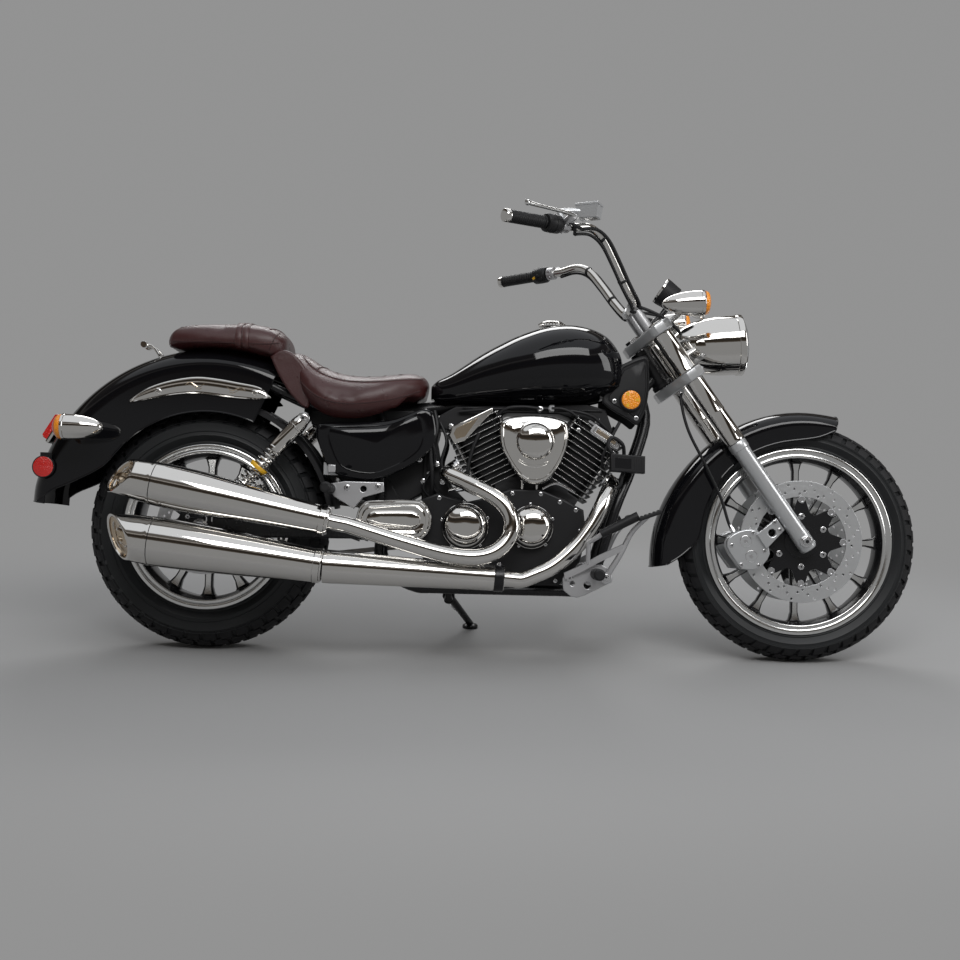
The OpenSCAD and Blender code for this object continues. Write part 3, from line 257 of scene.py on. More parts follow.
# The chrome's colour leans warm: a painted reflection of a brown floor, laid into the metal's tint.
CHROME = finish("chrome", (0.70, 0.685, 0.66), 0.05, 1.0, spread=0.02, rough_spread=0.02, grain=260, bump=0.012)
BRONZED = finish("bronzed_chrome", (0.60, 0.50, 0.38), 0.16, 1.0, spread=0.12, rough_spread=0.06, bump=0.03)
GLOSS = finish("gloss_black", (0.004, 0.004, 0.005), 0.05, specular=0.38, rough_spread=0.02, grain=420, bump=0.006)
SATIN = finish("satin_black", (0.008, 0.008, 0.009), 0.28, specular=0.35, bump=0.05)
PLASTIC = finish("black_plastic", (0.011, 0.011, 0.012), 0.45, specular=0.3, grain=1600, bump=0.18)
ENGINE = finish("engine_black", (0.010, 0.010, 0.011), 0.42, specular=0.3, grain=1300, bump=0.22, spread=0.2)
CAST = finish("cast_silver", (0.50, 0.50, 0.51), 0.36, 0.75, coat=0.2, grain=1100, bump=0.10)
PAINTED = finish("silver_paint", (0.52, 0.53, 0.54), 0.30, 0.65, coat=0.6, grain=1800, bump=0.04)
POLISHED = finish("polished_alloy", (0.72, 0.72, 0.71), 0.17, 1.0, spread=0.08, bump=0.05)
STEEL = finish("steel", (0.46, 0.46, 0.47), 0.30, 1.0, spread=0.12, bump=0.08)
BOLT = finish("bolt_steel", (0.66, 0.66, 0.67), 0.20, 1.0, spread=0.1, bump=0.05)
CHAIN = finish("chain_steel", (0.20, 0.19, 0.18), 0.38, 0.9, spread=0.25, bump=0.1)
TREAD = finish("tyre_tread", (0.010, 0.010, 0.011), 0.62, specular=0.3, spread=0.25, grain=700, bump=0.20, broad=30)
WALL = finish("tyre_wall", (0.011, 0.012, 0.013), 0.48, specular=0.35, spread=0.3, grain=500, bump=0.14, broad=10)
RUBBER = finish("rubber", (0.009, 0.009, 0.010), 0.5, specular=0.35, grain=1500, bump=0.15)
AMBER = finish("amber_lens", (0.90, 0.30, 0.008), 0.12, coat=0.5, grain=230, bump=0.5, kind="ShaderNodeTexVoronoi")
RED = finish("red_lens", (0.62, 0.012, 0.008), 0.12, coat=0.8, grain=230, bump=0.5, kind="ShaderNodeTexVoronoi")
GLASS = finish("lamp_glass", (0.94, 0.96, 0.97), 0.02, rough_spread=0.0, transmission=1.0, ior=1.45, bump=0.05,
    grain=160)
YELLOW = finish("yellow_paint", (0.75, 0.42, 0.02), 0.35, coat=0.5)
RED_PAINT = finish("red_switch", (0.55, 0.01, 0.01), 0.35, coat=0.5)
DIAL = finish("dial_face", (0.03, 0.03, 0.032), 0.4)
THREAD = finish("thread", (0.13, 0.05, 0.045), 0.6, grain=3000, bump=0.4)
SEAM = finish("seam", (0.03, 0.008, 0.008), 0.5)
WHEEL = ringed(finish("wheel_black", (0.007, 0.007, 0.008), 0.20, specular=0.5), FRONT_AXLE, 0.0015, 0.02)
FRONT_DISC = ringed(finish("front_disc_steel", (0.70, 0.71, 0.72), 0.30, 0.9), FRONT_AXLE, 0.0007, 0.25)
REAR_DISC = ringed(finish("rear_disc_steel", (0.60, 0.60, 0.61), 0.30, 0.9), REAR_AXLE, 0.0007, 0.25)


def leather():
    """Maroon leather: pebbled grain with finer creases and worn, lighter patches."""
    mat = finish("seat_leather", (0.046, 0.011, 0.011), 0.30, coat=0.1, spread=0.22, rough_spread=0.09, broad=7,
                 grain=620, bump=0.35, kind="ShaderNodeTexVoronoi")
    tree = mat.node_tree
    shader = tree.nodes["Principled BSDF"]
    pebbles = shader.inputs["Normal"].links[0].from_node
    creases = noise(tree, 60, 6.0)
    height = tree.nodes.new("ShaderNodeBump")
    height.inputs["Strength"].default_value = 0.18
    height.inputs["Distance"].default_value = 0.004
    tree.links.new(creases.outputs[0], height.inputs["Height"])
    tree.links.new(pebbles.outputs[0], height.inputs["Normal"])
    tree.links.new(height.outputs[0], shader.inputs["Normal"])
    return mat


LEATHER = leather()

# ---- Shapes ----


def catmull(points, steps):
    """A smooth curve through points of any number of columns, with so many steps between each two."""
    pts = [Vector(p) for p in points]
    out = []
    for i in range(len(pts) - 1):
        a, b, c, d = pts[max(i - 1, 0)], pts[i], pts[i + 1], pts[min(i + 2, len(pts) - 1)]
        for s in range(steps):
            t = s / steps
            out.append(b + (c - a) * t / 2 + (a - 2.5 * b + 2 * c - d / 2) * t**2 + (1.5 * (b - c) + (d - a) / 2) * t**3)
    return out + [pts[-1]]


def facing(direction, place=(0, 0, 0)):
    """A frame at a place whose Z points along a direction."""
    return Matrix.Translation(place) @ Vector(direction).to_track_quat("Z", "Y").to_matrix().to_4x4()


def lying(place=(0, 0, 0), side=1):
    """A frame whose X and Y are the bike's X and Z, and whose Z points to the left (1) or the right (-1)."""
    return Matrix.Translation(place) @ Matrix(((1, 0, 0, 0), (0, 0, side, 0), (0, 1, 0, 0), (0, 0, 0, 1)))


def arc(r, a0, a1, n, cx=0.0, cy=0.0):
    return [(cx + r * math.cos(math.radians(a0 + (a1 - a0) * k / n)),
        cy + r * math.sin(math.radians(a0 + (a1 - a0) * k / n)))
            for k in range(n + 1)]


def circle(r, n, cx=0.0, cy=0.0):
    return arc(r, 0, 360, n, cx, cy)[:-1]


class Piece:
    """Faces in millimetres, each with a material, that become one named piece."""

    def __init__(self):
        self.verts, self.faces, self.marks, self.mats = [], [], [], []

    def add(self, verts, faces, mat, at=None):
        base = len(self.verts)
        self.verts += [(at @ Vector(v)) if at else Vector(v) for v in verts]
        self.faces += [[base + i for i in f] for f in faces]
        if mat not in self.mats:
            self.mats.append(mat)
        self.marks += [self.mats.index(mat)] * len(faces)

    def loft(self, rings, mat, at=None, round_=True, caps=True, closed=False):
        n, m = len(rings[0]), len(rings)
        verts = [v for r in rings for v in r]
        faces = [[i * n + j, i * n + (j + 1) % n, ((i + 1) % m) * n + (j + 1) % n, ((i + 1) % m) * n + j]
                 for i in range(m if closed else m - 1) for j in range(n if round_ else n - 1)]
        if caps and round_ and not closed:
            faces += [list(range(n))[::-1], [(m - 1) * n + j for j in range(n)]]
        self.add(verts, faces, mat, at)

    def tube(self, path, r, mat, sides=12, at=None):
        """A round tube along a path; r is one radius or one for each point."""
        pts = [Vector(p) for p in path]
        radii = r if isinstance(r, (list, tuple)) else [r] * len(pts)
        rings = []
        up = None
        for i, p in enumerate(pts):
            along = (pts[min(i + 1, len(pts) - 1)] - pts[max(i - 1, 0)]).normalized()
            if up is None:
                up = along.orthogonal().normalized()
            up = (up - along * up.dot(along)).normalized()
            side = along.cross(up)
            rings.append([p + radii[i] * (up * math.cos(a) + side * math.sin(a))
                          for a in (k * math.tau / sides for k in range(sides))])
        self.loft(rings, mat, at)

    def turned(self, a, b, rows, mat, sides=40, at=None):
        """A solid of rows [distance along, radius] about the line from a towards b."""
        spot = facing(Vector(b) - Vector(a), a)
        rings = [[spot @ Vector((max(r, 0.02) * math.cos(t), max(r, 0.02) * math.sin(t), s))
                  for t in (k * math.tau / sides for k in range(sides))] for s, r in rows]
        self.loft(rings, mat, at)

    def wheel(self, centre, rows, mat, sides=128, closed=True, at=None):
        """A ring of rows [radius, y] about the axle."""
        c = Vector(centre)
        rings = [[c + Vector((r * math.cos(t), y, r * math.sin(t))) for r, y in rows]
                 for t in (k * math.tau / sides for k in range(sides))]
        self.loft(rings, mat, at, round_=closed, closed=True)

    def plate(self, outlines, t, mat, at, rounding=0.0):
        """A flat plate in its frame's XY plane, from z 0 to t; outlines after the first are holes."""
        curve = bpy.data.curves.new("cut", "CURVE")
        curve.dimensions = "2D"
        curve.fill_mode = "BOTH"
        curve.extrude = max(t / 2 - rounding, 0.001)
        curve.bevel_depth = rounding
        curve.bevel_resolution = 2
        curve.offset = -rounding
        for line in outlines:
            spline = curve.splines.new("POLY")
            spline.points.add(len(line) - 1)
            for point, q in zip(spline.points, line):
                point.co = (q[0], q[1], 0, 1)
            spline.use_cyclic_u = True
        holder = bpy.data.objects.new("cut", curve)
        mesh = bpy.data.meshes.new_from_object(holder)
        self.add([(v.co.x, v.co.y, v.co.z + t / 2) for v in mesh.vertices],
            [list(p.vertices) for p in mesh.polygons], mat, at)
        bpy.data.objects.remove(holder)
        bpy.data.curves.remove(curve)
        bpy.data.meshes.remove(mesh)

    def box(self, size, at, mat, rounding=1.5):
        """A box centred in its frame's XY plane that rises along Z."""
        x, y = size[0] / 2, size[1] / 2
        self.plate([[(-x, -y), (x, -y), (x, y), (-x, y)]], size[2], mat, at, rounding)

    def bolt(self, place, direction, r, mat=None, sides=6, washer=True):
        mat = mat or BOLT
        a = Vector(place)
        b = a + Vector(direction)
        if washer:
            self.turned(a, b, [[0, r * 1.35], [r * 0.2, r * 1.35], [r * 0.24, r * 1.28]], mat, 16)
        self.turned(a, b, [[0, r], [r * 0.75, r], [r * 0.9, r * 0.86]], mat, sides)
        self.turned(a, b, [[r * 0.85, r * 0.5], [r * 0.95, r * 0.45]], ENGINE, sides)

    def done(self, name, body, slot, nodes=(), space=BIKE, bevel=0.0, subdivide=0, sharp=35):
        mesh = bpy.data.meshes.new(name)
        mesh.from_pydata(self.verts, [], self.faces)
        for mat in self.mats:
            mesh.materials.append(mat)
        mesh.polygons.foreach_set("material_index", self.marks)
        mesh.transform(space)
        mesh.validate()
        obj = bpy.data.objects.new(name, mesh)
        bpy.context.scene.collection.objects.link(obj)
        outward(mesh)
        mesh.shade_smooth()
        if not subdivide:
            mesh.set_sharp_from_angle(angle=math.radians(sharp))
        if bevel:
            soft = obj.modifiers.new("edges", "BEVEL")
            soft.width = bevel * MM
            soft.segments = 2
            soft.limit_method = "ANGLE"
            soft.angle_limit = math.radians(50)
        if subdivide:
            smooth = obj.modifiers.new("smooth", "SUBSURF")
            smooth.levels = smooth.render_levels = subdivide
        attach(obj, body)
        if nodes:
            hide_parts(*nodes)
        return obj


def outward(mesh):
    """Turns every closed shell's faces outwards."""
    work = bmesh.new()
    work.from_mesh(mesh)
    bmesh.ops.recalc_face_normals(work, faces=work.faces)
    work.to_mesh(mesh)
    work.free()


def both(make):
    """Calls make(1) for the left side and make(-1) for the right."""
    for side in (1, -1):
        make(side)

# ---- Wheels ----


def tyre(name, centre_x, r, w, rim_r, bead_y, pitches, body, node):
    """A block-tread tyre: a carcass a groove's depth below the crown, blocks on it and ribs on the walls."""
    piece = Piece()
    centre = (centre_x, 0, r)
    crown = w / 2 + 6
    side = math.degrees(math.asin((w / 2) / crown))
    depth = 7.0

    def at_crown(a, drop):
        return r - crown + (crown - drop) * math.cos(math.radians(a)), (crown - drop) * math.sin(math.radians(a))

    wall = [(rim_r - 12, bead_y), (rim_r + 1, bead_y), (rim_r + 5, bead_y + 2.5), (rim_r + 8, bead_y + 1.5),
            (rim_r + 20, w / 2 - 2.5), (rim_r + 24, w / 2 - 0.6), (rim_r + 27, w / 2 - 1.8)]
    outer = [at_crown(a, depth * (1 - max(0, abs(a) - 0.78 * side) / (0.22 * side)) if abs(a) > 0.78 * side else depth)
             for a in [side * k / 9 for k in range(-9, 10)]]
    profile = [(q, -y) for q, y in wall] + outer + wall[::-1]
    piece.wheel(centre, profile, WALL, 160)
    for rib_r in (rim_r + 34, r - 38):
        for s in (1, -1):
            y = s * (w / 2 - 0.3 - max(0, rib_r - (r - 26)) * 0.2)
            piece.wheel(centre, [(rib_r - 1.2, y - s), (rib_r, y + s * 0.2), (rib_r + 1.2, y - s)], WALL, 96)
    # Blocks: [from and to, as shares of the crown's half angle; how far they lead; their share of a pitch]
    rows = [(-1.0, -0.60, 0.55, 0.80), (-0.55, -0.20, 0.18, 0.84), (-0.15, 0.15, 0.0, 0.86),
            (0.20, 0.55, 0.18, 0.84), (0.60, 1.0, 0.55, 0.80)]
    for k in range(pitches):
        for row, (a0, a1, lead, length) in enumerate(rows):
            shift = 0.5 if row % 2 else 0.0
            steps = 3
            rings = []
            for j in range(steps + 1):
                share = a0 + (a1 - a0) * j / steps
                slant = lead * (abs(share) - abs(a0 if row < 2 else a1)) * 0.5
                ring = []
                for edge, drop in ((-0.5, depth + 1), (-0.44, 0.4), (-0.36, 0), (0.36, 0), (0.44, 0.4),
                    (0.5, depth + 1)):
                    turn = (k + shift + slant + edge * length) / pitches * math.tau
                    inset = 1.5 if j in (0, steps) and drop == 0 else 0
                    q, y = at_crown(share * side, drop + inset)
                    ring.append((q * math.cos(turn), y, q * math.sin(turn)))
                rings.append(ring)
            piece.loft(rings, TREAD, Matrix.Translation(centre))
    return piece.done(name, body, "tyre_black", [node])


def spoked_rim(piece, centre, rim_r, bead_y, hub_r, hub_y, spoke_in, spoke_out):
    """A cast wheel: barrel with polished lips, twelve black spokes with machined faces, and a hub."""
    barrel, lip = rim_r - 14, bead_y + 0.3
    c = Vector(centre)
    for s in (1, -1):
        band = [(barrel - 10, lip + 5), (barrel - 8, lip + 6), (barrel - 2, lip + 5.2), (barrel, lip + 3.6),
            (barrel + 2, lip + 5.2),
                (rim_r - 2, lip + 6), (rim_r, lip + 5), (rim_r, lip + 0.3), (barrel + 1, lip + 0.3),
                (barrel - 10, lip - 6)]
        piece.wheel(centre, [(r, s * y) for r, y in band], POLISHED)
    inner = [(barrel - 10, lip + 4.8), (barrel - 11, lip - 4), (barrel - 17, lip - 16), (barrel - 19, 16),
        (barrel - 19, -16),
             (barrel - 17, -lip + 16), (barrel - 11, -lip + 4), (barrel - 10, -lip - 4.8), (barrel, -lip + 4),
             (barrel, lip - 4)]
    piece.wheel(centre, inner, WHEEL)
    hub = [(12, -hub_y), (hub_r - 12, -hub_y), (hub_r - 9, -hub_y + 3), (hub_r - 8, -hub_y + 22), (hub_r, -hub_y + 34),
           (hub_r, hub_y - 34), (hub_r - 8, hub_y - 22), (hub_r - 9, hub_y - 3), (hub_r - 12, hub_y), (12, hub_y)]
    piece.wheel(centre, hub, WHEEL, 64)
    for k in range(12):
        turn = Matrix.Translation(c) @ Matrix.Rotation(k * math.tau / 12, 4, "Y")
        stations = [(hub_r - 6, spoke_in * 0.95, 15), (hub_r + 14, spoke_in * 0.62, 13),
            ((hub_r + barrel) / 2, spoke_out * 0.60, 12),
                    (barrel - 44, spoke_out * 0.62, 12.5), (barrel - 24, spoke_out * 0.95, 15),
                    (barrel - 17, spoke_out * 1.5, 18)]
        rings = [[(r, y * d, z * w) for z, y in ((1, 0.55), (0.86, 0.85), (0.7, 0.95), (-0.7, 0.95), (-0.86, 0.85),
            (-1, 0.55),
                                                 (-1, -0.55), (-0.86, -0.85), (-0.7, -0.95), (0.7, -0.95),
                                                 (0.86, -0.85), (1, -0.55))]
                 for r, w, d in stations]
        piece.loft(rings, WHEEL, turn)
        for s in (1, -1):
            face = [[(r, s * (d * 0.94 + lift), z * w * 0.66) for z,
                lift in ((-1, -0.4), (-0.92, 0.7), (0.92, 0.7), (1, -0.4))]
                    for r, w, d in stations[1:5]]
            piece.loft(face, POLISHED, turn)


def drilled_disc(piece, centre, r, band, y, mat, groups, holes):
    """A brake disc with its holes cut through; holes are (radius, share of a group) in each group."""
    inner = r - band
    cuts = [circle(r, 120), circle(inner, 96)]
    for k in range(groups):
        for hole_r, share in holes:
            a = math.tau * (k + share) / groups
            cuts.append(circle(3.3, 10, hole_r * math.cos(a), hole_r * math.sin(a)))
    piece.plate(cuts, 4.6, mat, lying((centre[0], y - 2.3, centre[2])), 0.4)


def carrier(piece, centre, y, side, inner, reach, lobes, mat, bobbin_r, bolt_ring):
    """The star that carries a disc, with a bobbin at each point and bolts round the hub."""
    outline = []
    for k in range(lobes * 12):
        a = math.tau * k / (lobes * 12)
        wave = 0.5 + 0.5 * math.cos(lobes * a)
        outline.append(((inner + (reach - inner) * wave**1.6) * math.cos(a),
            (inner + (reach - inner) * wave**1.6) * math.sin(a)))
    at = lying((centre[0], y - 2.6, centre[2]))
    piece.plate([outline, circle(30, 40)], 5.2, mat, at, 0.8)
    face_y = y + side * 2.6
    for k in range(lobes):
        a = math.tau * k / lobes
        spot = Vector((centre[0] + bobbin_r * math.cos(a), face_y - side * 6, centre[2] + bobbin_r * math.sin(a)))
        out = Vector((0, side, 0))
        piece.turned(spot, spot + out, [[0, 9.5], [7.4, 9.5], [8.2, 8.6], [8.2, 5.2], [6.4, 4.6], [6.4, 0.1]], BOLT, 24)
    for k in range(6):
        a = math.tau * (k + 0.5) / 6
        piece.bolt((centre[0] + bolt_ring * math.cos(a), face_y, centre[2] + bolt_ring * math.sin(a)), (0, side, 0), 6)


def front_wheel():
    centre = (WHEELBASE, 0, FRONT_R)
    tyre("front_tyre_tread", WHEELBASE, FRONT_R, FRONT_W, FRONT_RIM, FRONT_W / 2 - 12, 46, "front_wheel", "front_tyre")
    rim = Piece()
    spoked_rim(rim, centre, FRONT_RIM, FRONT_W / 2 - 12, 52, 61, 22, 15)
    rim.turned((WHEELBASE + 214, 30, FRONT_R), (WHEELBASE + 190, 34, FRONT_R),
        [[0, 4], [30, 4], [31, 5], [40, 5], [41, 3]], BOLT, 12)
    rim.done("front_wheel_casting", "front_wheel", "wheel_alloy", ["front_rim"])
    discs = Piece()
    for side in (1, -1):
        drilled_disc(discs, centre, 160, 42, side * 71, FRONT_DISC, 16,
            [(126, 0.1), (139, 0.35), (152, 0.6), (133, 0.85)])
        carrier(discs, centre, side * 71, side, 78, 118, 8, SATIN, 110, 66)
        discs.wheel(centre, [(14, side * 62.4), (46, side * 62.4), (46, side * 68), (44, side * 75),
            (34, side * 77), (14, side * 77)], SATIN, 48)
    discs.done("front_brake_discs", "front_wheel", "brake_steel", ["front_discs"])


def rear_wheel():
    centre = (0, 0, REAR_R)
    tyre("rear_tyre_tread", 0, REAR_R, REAR_W, REAR_RIM, REAR_W / 2 - 15, 42, "rear_wheel", "rear_tyre")
    rim = Piece()
    spoked_rim(rim, centre, REAR_RIM, REAR_W / 2 - 15, 66, 71, 26, 18)
    drilled_disc(rim, centre, 125, 34, -86, REAR_DISC, 16, [(99, 0.1), (108, 0.4), (117, 0.7)])
    carrier(rim, centre, -86, -1, 70, 96, 8, SATIN, 90, 48)
    rim.wheel(centre, [(24, -72.4), (58, -72.4), (58, -84), (50, -91), (24, -91)], SATIN, 48)
    teeth = [((88 if k % 4 in (0, 3) else 95.5) * math.cos(math.tau * (k + 0.5) / 168),
        (88 if k % 4 in (0, 3) else 95.5) * math.sin(math.tau * (k + 0.5) / 168))
             for k in range(168)]
    windows = [[((52 + 22 * (i in (1, 2))) * math.cos(math.tau * (k + (0.3 if i < 2 else 0.7)) / 6),
                 (52 + 22 * (i in (1, 2))) * math.sin(math.tau * (k + (0.3 if i < 2 else 0.7)) / 6)) for i in range(4)] for k in range(6)]
    rim.plate([teeth, circle(30, 40)] + windows, 6, STEEL, lying((0, 85, REAR_R)), 0.6)
    rim.wheel(centre, [(24, 72.4), (44, 72.4), (50, 80), (50, 85), (44, 92), (24, 92)], SATIN, 48)
    rim.done("rear_wheel_casting", "rear_wheel", "wheel_alloy", ["rear_rim"])


# ---- Frame ----

HEAD_FOOT = fork_p(-FORK_OFFSET - 66, 26, LOWER_YOKE + YOKE_T + 16)
HEAD_MIDDLE = fork_p(-FORK_OFFSET, 0, LOWER_YOKE + YOKE_T + 60)


def frame_members():
    piece = Piece()
    back = HEAD_MIDDLE - Vector((23, 0, 0))
    piece.tube(catmull([back, (880, 0, 712), (620, 0, 655), (430, 0, 640)], 4), 19.5, SATIN, 18)
    head_top = fork_p(-FORK_OFFSET - 18, 14, LOWER_YOKE + YOKE_T + 36)
    low = [(1120, 60, 495), (1075, 92, 385), (1020, 92, 205), (985, 92, 174), (940, 92, 172), (620, 92, 172),
           (560, 92, 174), (500, 66, 200), (462, 66, 250), (460, 66, 318), (456, 66, 600), (430, 24, 640)]
    for side in (1, -1):
        path = [head_top, HEAD_FOOT, HEAD_FOOT + Vector((9, 12, -77))] + [Vector(p) for p in low]
        path = [Vector((p.x, side * p.y, p.z)) for p in path]
        piece.tube(catmull(path, 4), 12.8, SATIN, 16)
        rail = [(434, 26, 639), (300, 62, 640), (150, 82, 700)]
        piece.tube(catmull([(x, side * y, z) for x, y, z in rail], 4), 11.8, SATIN, 14)
        piece.tube([(262, side * 66, 652), (262, side * 82, 604)], 10, SATIN, 14)
    for x, z in ((985, 174), (560, 174), (459, 380)):
        piece.tube([(x, -66, z), (x, 66, z)], 11, SATIN, 14)
    piece.tube([(300, -62, 640), (300, 62, 640)], 11, SATIN, 14)
    stand = Vector((640, 128, 150))
    lug = Vector((0, 0.8, 0.6))
    piece.tube([stand - lug * 12.3, stand - lug * 30], 12, SATIN, 18)
    piece.tube([stand - lug * 30, (640, 92, 172)], 9, SATIN, 12)
    piece.done("frame_tubing", "frame", "frame_black", ["frame_tubes"])
    head = Piece()
    base, top = LOWER_YOKE + YOKE_T + 2, UPPER_YOKE - 2
    head.turned(fork_p(-FORK_OFFSET, 0, base), fork_p(-FORK_OFFSET, 0, top),
                [[0, 27], [2, 29], [12, 29], [14, 26], [102, 26], [104, 29], [114, 29], [116, 27]], SATIN, 40)
    head.done("steering_tube", "frame", "frame_black", ["steering_head"])
    box = Piece()
    outline = [(352, 470), (352, 590), (400, 596), (540, 596), (575, 580), (575, 425), (520, 392), (440, 392),
        (440, 470)]
    box.plate([outline], 94, PLASTIC, lying((0, -47, 0)), 4)
    for z in (500, 530, 560):
        box.tube([(470, 49, z), (560, 49, z)], 3, PLASTIC, 8)
        box.tube([(470, -49, z), (560, -49, z)], 3, PLASTIC, 8)
    box.done("airbox", "frame", "black_plastic", ["under_seat_box"])


def swing_arm():
    piece = Piece()
    for side in (1, -1):
        at = lying((0, 104 if side > 0 else -130, 0))
        outline = [(-30, 298), (-34, 320), (-30, 342), (30, 348), (390, 343), (412, 350), (412, 290), (390, 297),
            (30, 292)]
        slot = [(-16, 310), (16, 310), (16, 330), (-16, 330)]
        piece.plate([outline, slot], 26, SATIN, at, 4)
        lug = [(52, 342), (66, 400)] + arc(20, 160, 20, 8, 86, 404) + [(106, 400), (140, 342)]
        piece.plate([lug], 12, SATIN, lying((0, 104 if side > 0 else -116, 0)), 2)
        piece.box((8, 20, 28), lying((-30, 103 if side > 0 else -131, 320)), BOLT, 1)
        piece.bolt((-34, side * 117, 320), (-1, 0, 0), 5)
        for s in (6, 20):
            piece.box((3, 12, 1.2), lying((s + 10, side * 130.2, 338), 1), BOLT, 0.2)
    piece.plate([[(362, 300), (362, 340), (416, 346), (416, 294)]], 210, SATIN, lying((0, -105, 0)), 4)
    piece.turned((430, -130, 318), (430, 130, 318), [[0, 14], [1, 16.5], [259, 16.5], [260, 14]], SATIN, 32)
    for side in (1, -1):
        piece.bolt((430, side * 130, 318), (0, side, 0), 11)
    piece.done("swingarm_beams", "frame", "frame_black", ["swingarm"])
    axle = Piece()
    axle.turned((0, -145, REAR_R), (0, 145, REAR_R), [[0, 9], [1, 10], [289, 10], [290, 9]], STEEL, 32)
    for side in (1, -1):
        axle.bolt((0, side * 130.4, REAR_R), (0, side, 0), 15)
    axle.done("rear_spindle", "frame", "steel", ["rear_axle"])


def shocks():
    piece = Piece()

    def one(side):
        top, foot = Vector((262, side * 140, 604)), Vector((86, side * 140, 404))
        along = foot - top
        length = along.length
        piece.turned(top, foot, [[-13, 9], [-10, 15], [4, 18], [14, 20.5], [22, 21.5], [106, 21.5], [112, 20.5],
            [114, 17]], CHROME, 40)
        piece.turned(top, foot, [[28, 21.7], [29, 22.6], [33, 22.6], [34, 21.7]], CHROME, 40)
        piece.turned(top, foot, [[110, 8], [length - 24, 8]], POLISHED, 20)
        turns, wire = 9.5, 3.4
        start, stop = 104, length - 34
        spot = facing(along, top)
        coil = [spot @ Vector((19 * math.cos(a), 19 * math.sin(a), start + (stop - start) * a / (turns * math.tau)))
                for a in (k * turns * math.tau / 150 for k in range(151))]
        piece.tube(coil, wire, CHROME, 8)
        piece.turned(top, foot, [[166, 14], [166, 24], [168, 25], [175, 25], [177, 24], [177, 14]], YELLOW, 32)
        piece.turned(top, foot, [[stop, 12], [stop, 24], [stop + 3, 25], [stop + 8, 24], [length - 12, 14],
            [length, 13]], BOLT, 32)
        for end, r in ((top, 16), (foot, 14)):
            piece.turned(end - Vector((0, 13, 0)), end + Vector((0, 13, 0)),
                [[0, r - 1], [1, r], [25, r], [26, r - 1]], BOLT, 28)
            piece.bolt(end + Vector((0, side * 13, 0)), (0, side, 0), 8)
            piece.turned(Vector((end.x, side * (82.5 if end is top else 116.5), end.z)), end, [[0, 8], [40, 8]],
                BOLT, 18)

    both(one)
    piece.done("shock_absorbers", "frame", "chrome", ["rear_shocks"])


# ---- Bodywork ----


def cross_ring(x, w, z0, z1, f, sides, power, pinch=0.0):
    ring = []
    for k in range(sides):
        a = k * math.tau / sides
        c, s = math.cos(a), math.sin(a)
        zc = z0 + f * (z1 - z0)
        h = z1 - zc if s > 0 else zc - z0
        y = w * math.copysign(abs(c) ** (2 / power), c) * (1 - pinch * max(0, s) ** 2)
        ring.append((x, y, zc + h * math.copysign(abs(s) ** (2 / power), s)))
    return ring


TANK_ROWS = [(584, 0.16, 672, 712), (600, 0.34, 664, 727), (640, 0.50, 660, 748), (712, 0.70, 660, 797),
    (766, 0.83, 660, 828),
             (819, 0.93, 661, 854), (887, 1.00, 663, 877), (954, 1.00, 666, 884), (1009, 0.93, 672, 875),
             (1050, 0.79, 682, 856),
             (1077, 0.62, 692, 828), (1092, 0.42, 705, 800), (1099, 0.22, 722, 775)]


def tank():
    piece = Piece()
    rows = catmull(TANK_ROWS, 4)
    piece.loft([cross_ring(r[0], r[1] * TANK_W / 2, r[2], r[3], 0.45, 72, 2.3) for r in rows], GLOSS)
    obj = piece.done("tank_shell", "frame", "gloss_black", ["fuel_tank"])
    tunnel = Piece()
    tunnel.plate([[(560, 600), (1120, 600), (1120, 787), (620, 676.5), (560, 673.5)]], 56, GLOSS, lying((0, -28, 0)))
    cut_away(obj, tunnel)
    # The welded seam round the underside
    seam = Piece()
    for side in (1, -1):
        edge = []
        for r in rows[3:-3]:
            ring = cross_ring(r[0], r[1] * TANK_W / 2, r[2], r[3], 0.45, 72, 2.3)
            edge.append(Vector(ring[65 if side > 0 else 43]) + Vector((0, side * 1.0, 0)))
        seam.tube(edge, 1.8, GLOSS, 8)
    seam.done("tank_seam", "frame", "gloss_black")
    cap = Piece()
    cap.turned((905, 0, 880), (905, 0, 896), [[0, 35], [3, 35.5], [5, 34], [6, 33], [10.5, 33], [13.5, 30],
        [15, 22], [15.4, 0.1]], CHROME, 64)
    for k in range(24):
        a = k * math.tau / 24
        cap.box((3, 1.6, 5), facing((math.cos(a), math.sin(a), 0), (905 + 32 * math.cos(a), 32 * math.sin(a), 888)),
            CHROME, 0.5)
    cap.done("filler_cap", "frame", "chrome", ["fuel_cap"])


def cut_away(obj, tool):
    """Takes a closed tool piece out of an object's mesh."""
    cutter = bpy.data.objects.new("cutter", bpy.data.meshes.new("cutter"))
    cutter.data.from_pydata(tool.verts, [], tool.faces)
    cutter.data.transform(BIKE)
    outward(cutter.data)
    bpy.context.scene.collection.objects.link(cutter)
    cut = obj.modifiers.new("cut", "BOOLEAN")
    cut.operation = "DIFFERENCE"
    cut.solver = "EXACT"
    cut.object = cutter
    bake(obj)
    bpy.data.objects.remove(cutter)


def bake(obj):
    """Applies an object's modifiers."""
    graph = bpy.context.evaluated_depsgraph_get()
    graph.update()
    done = bpy.data.meshes.new_from_object(obj.evaluated_get(graph))
    old = obj.data
    obj.modifiers.clear()
    obj.data = done
    bpy.data.meshes.remove(old)


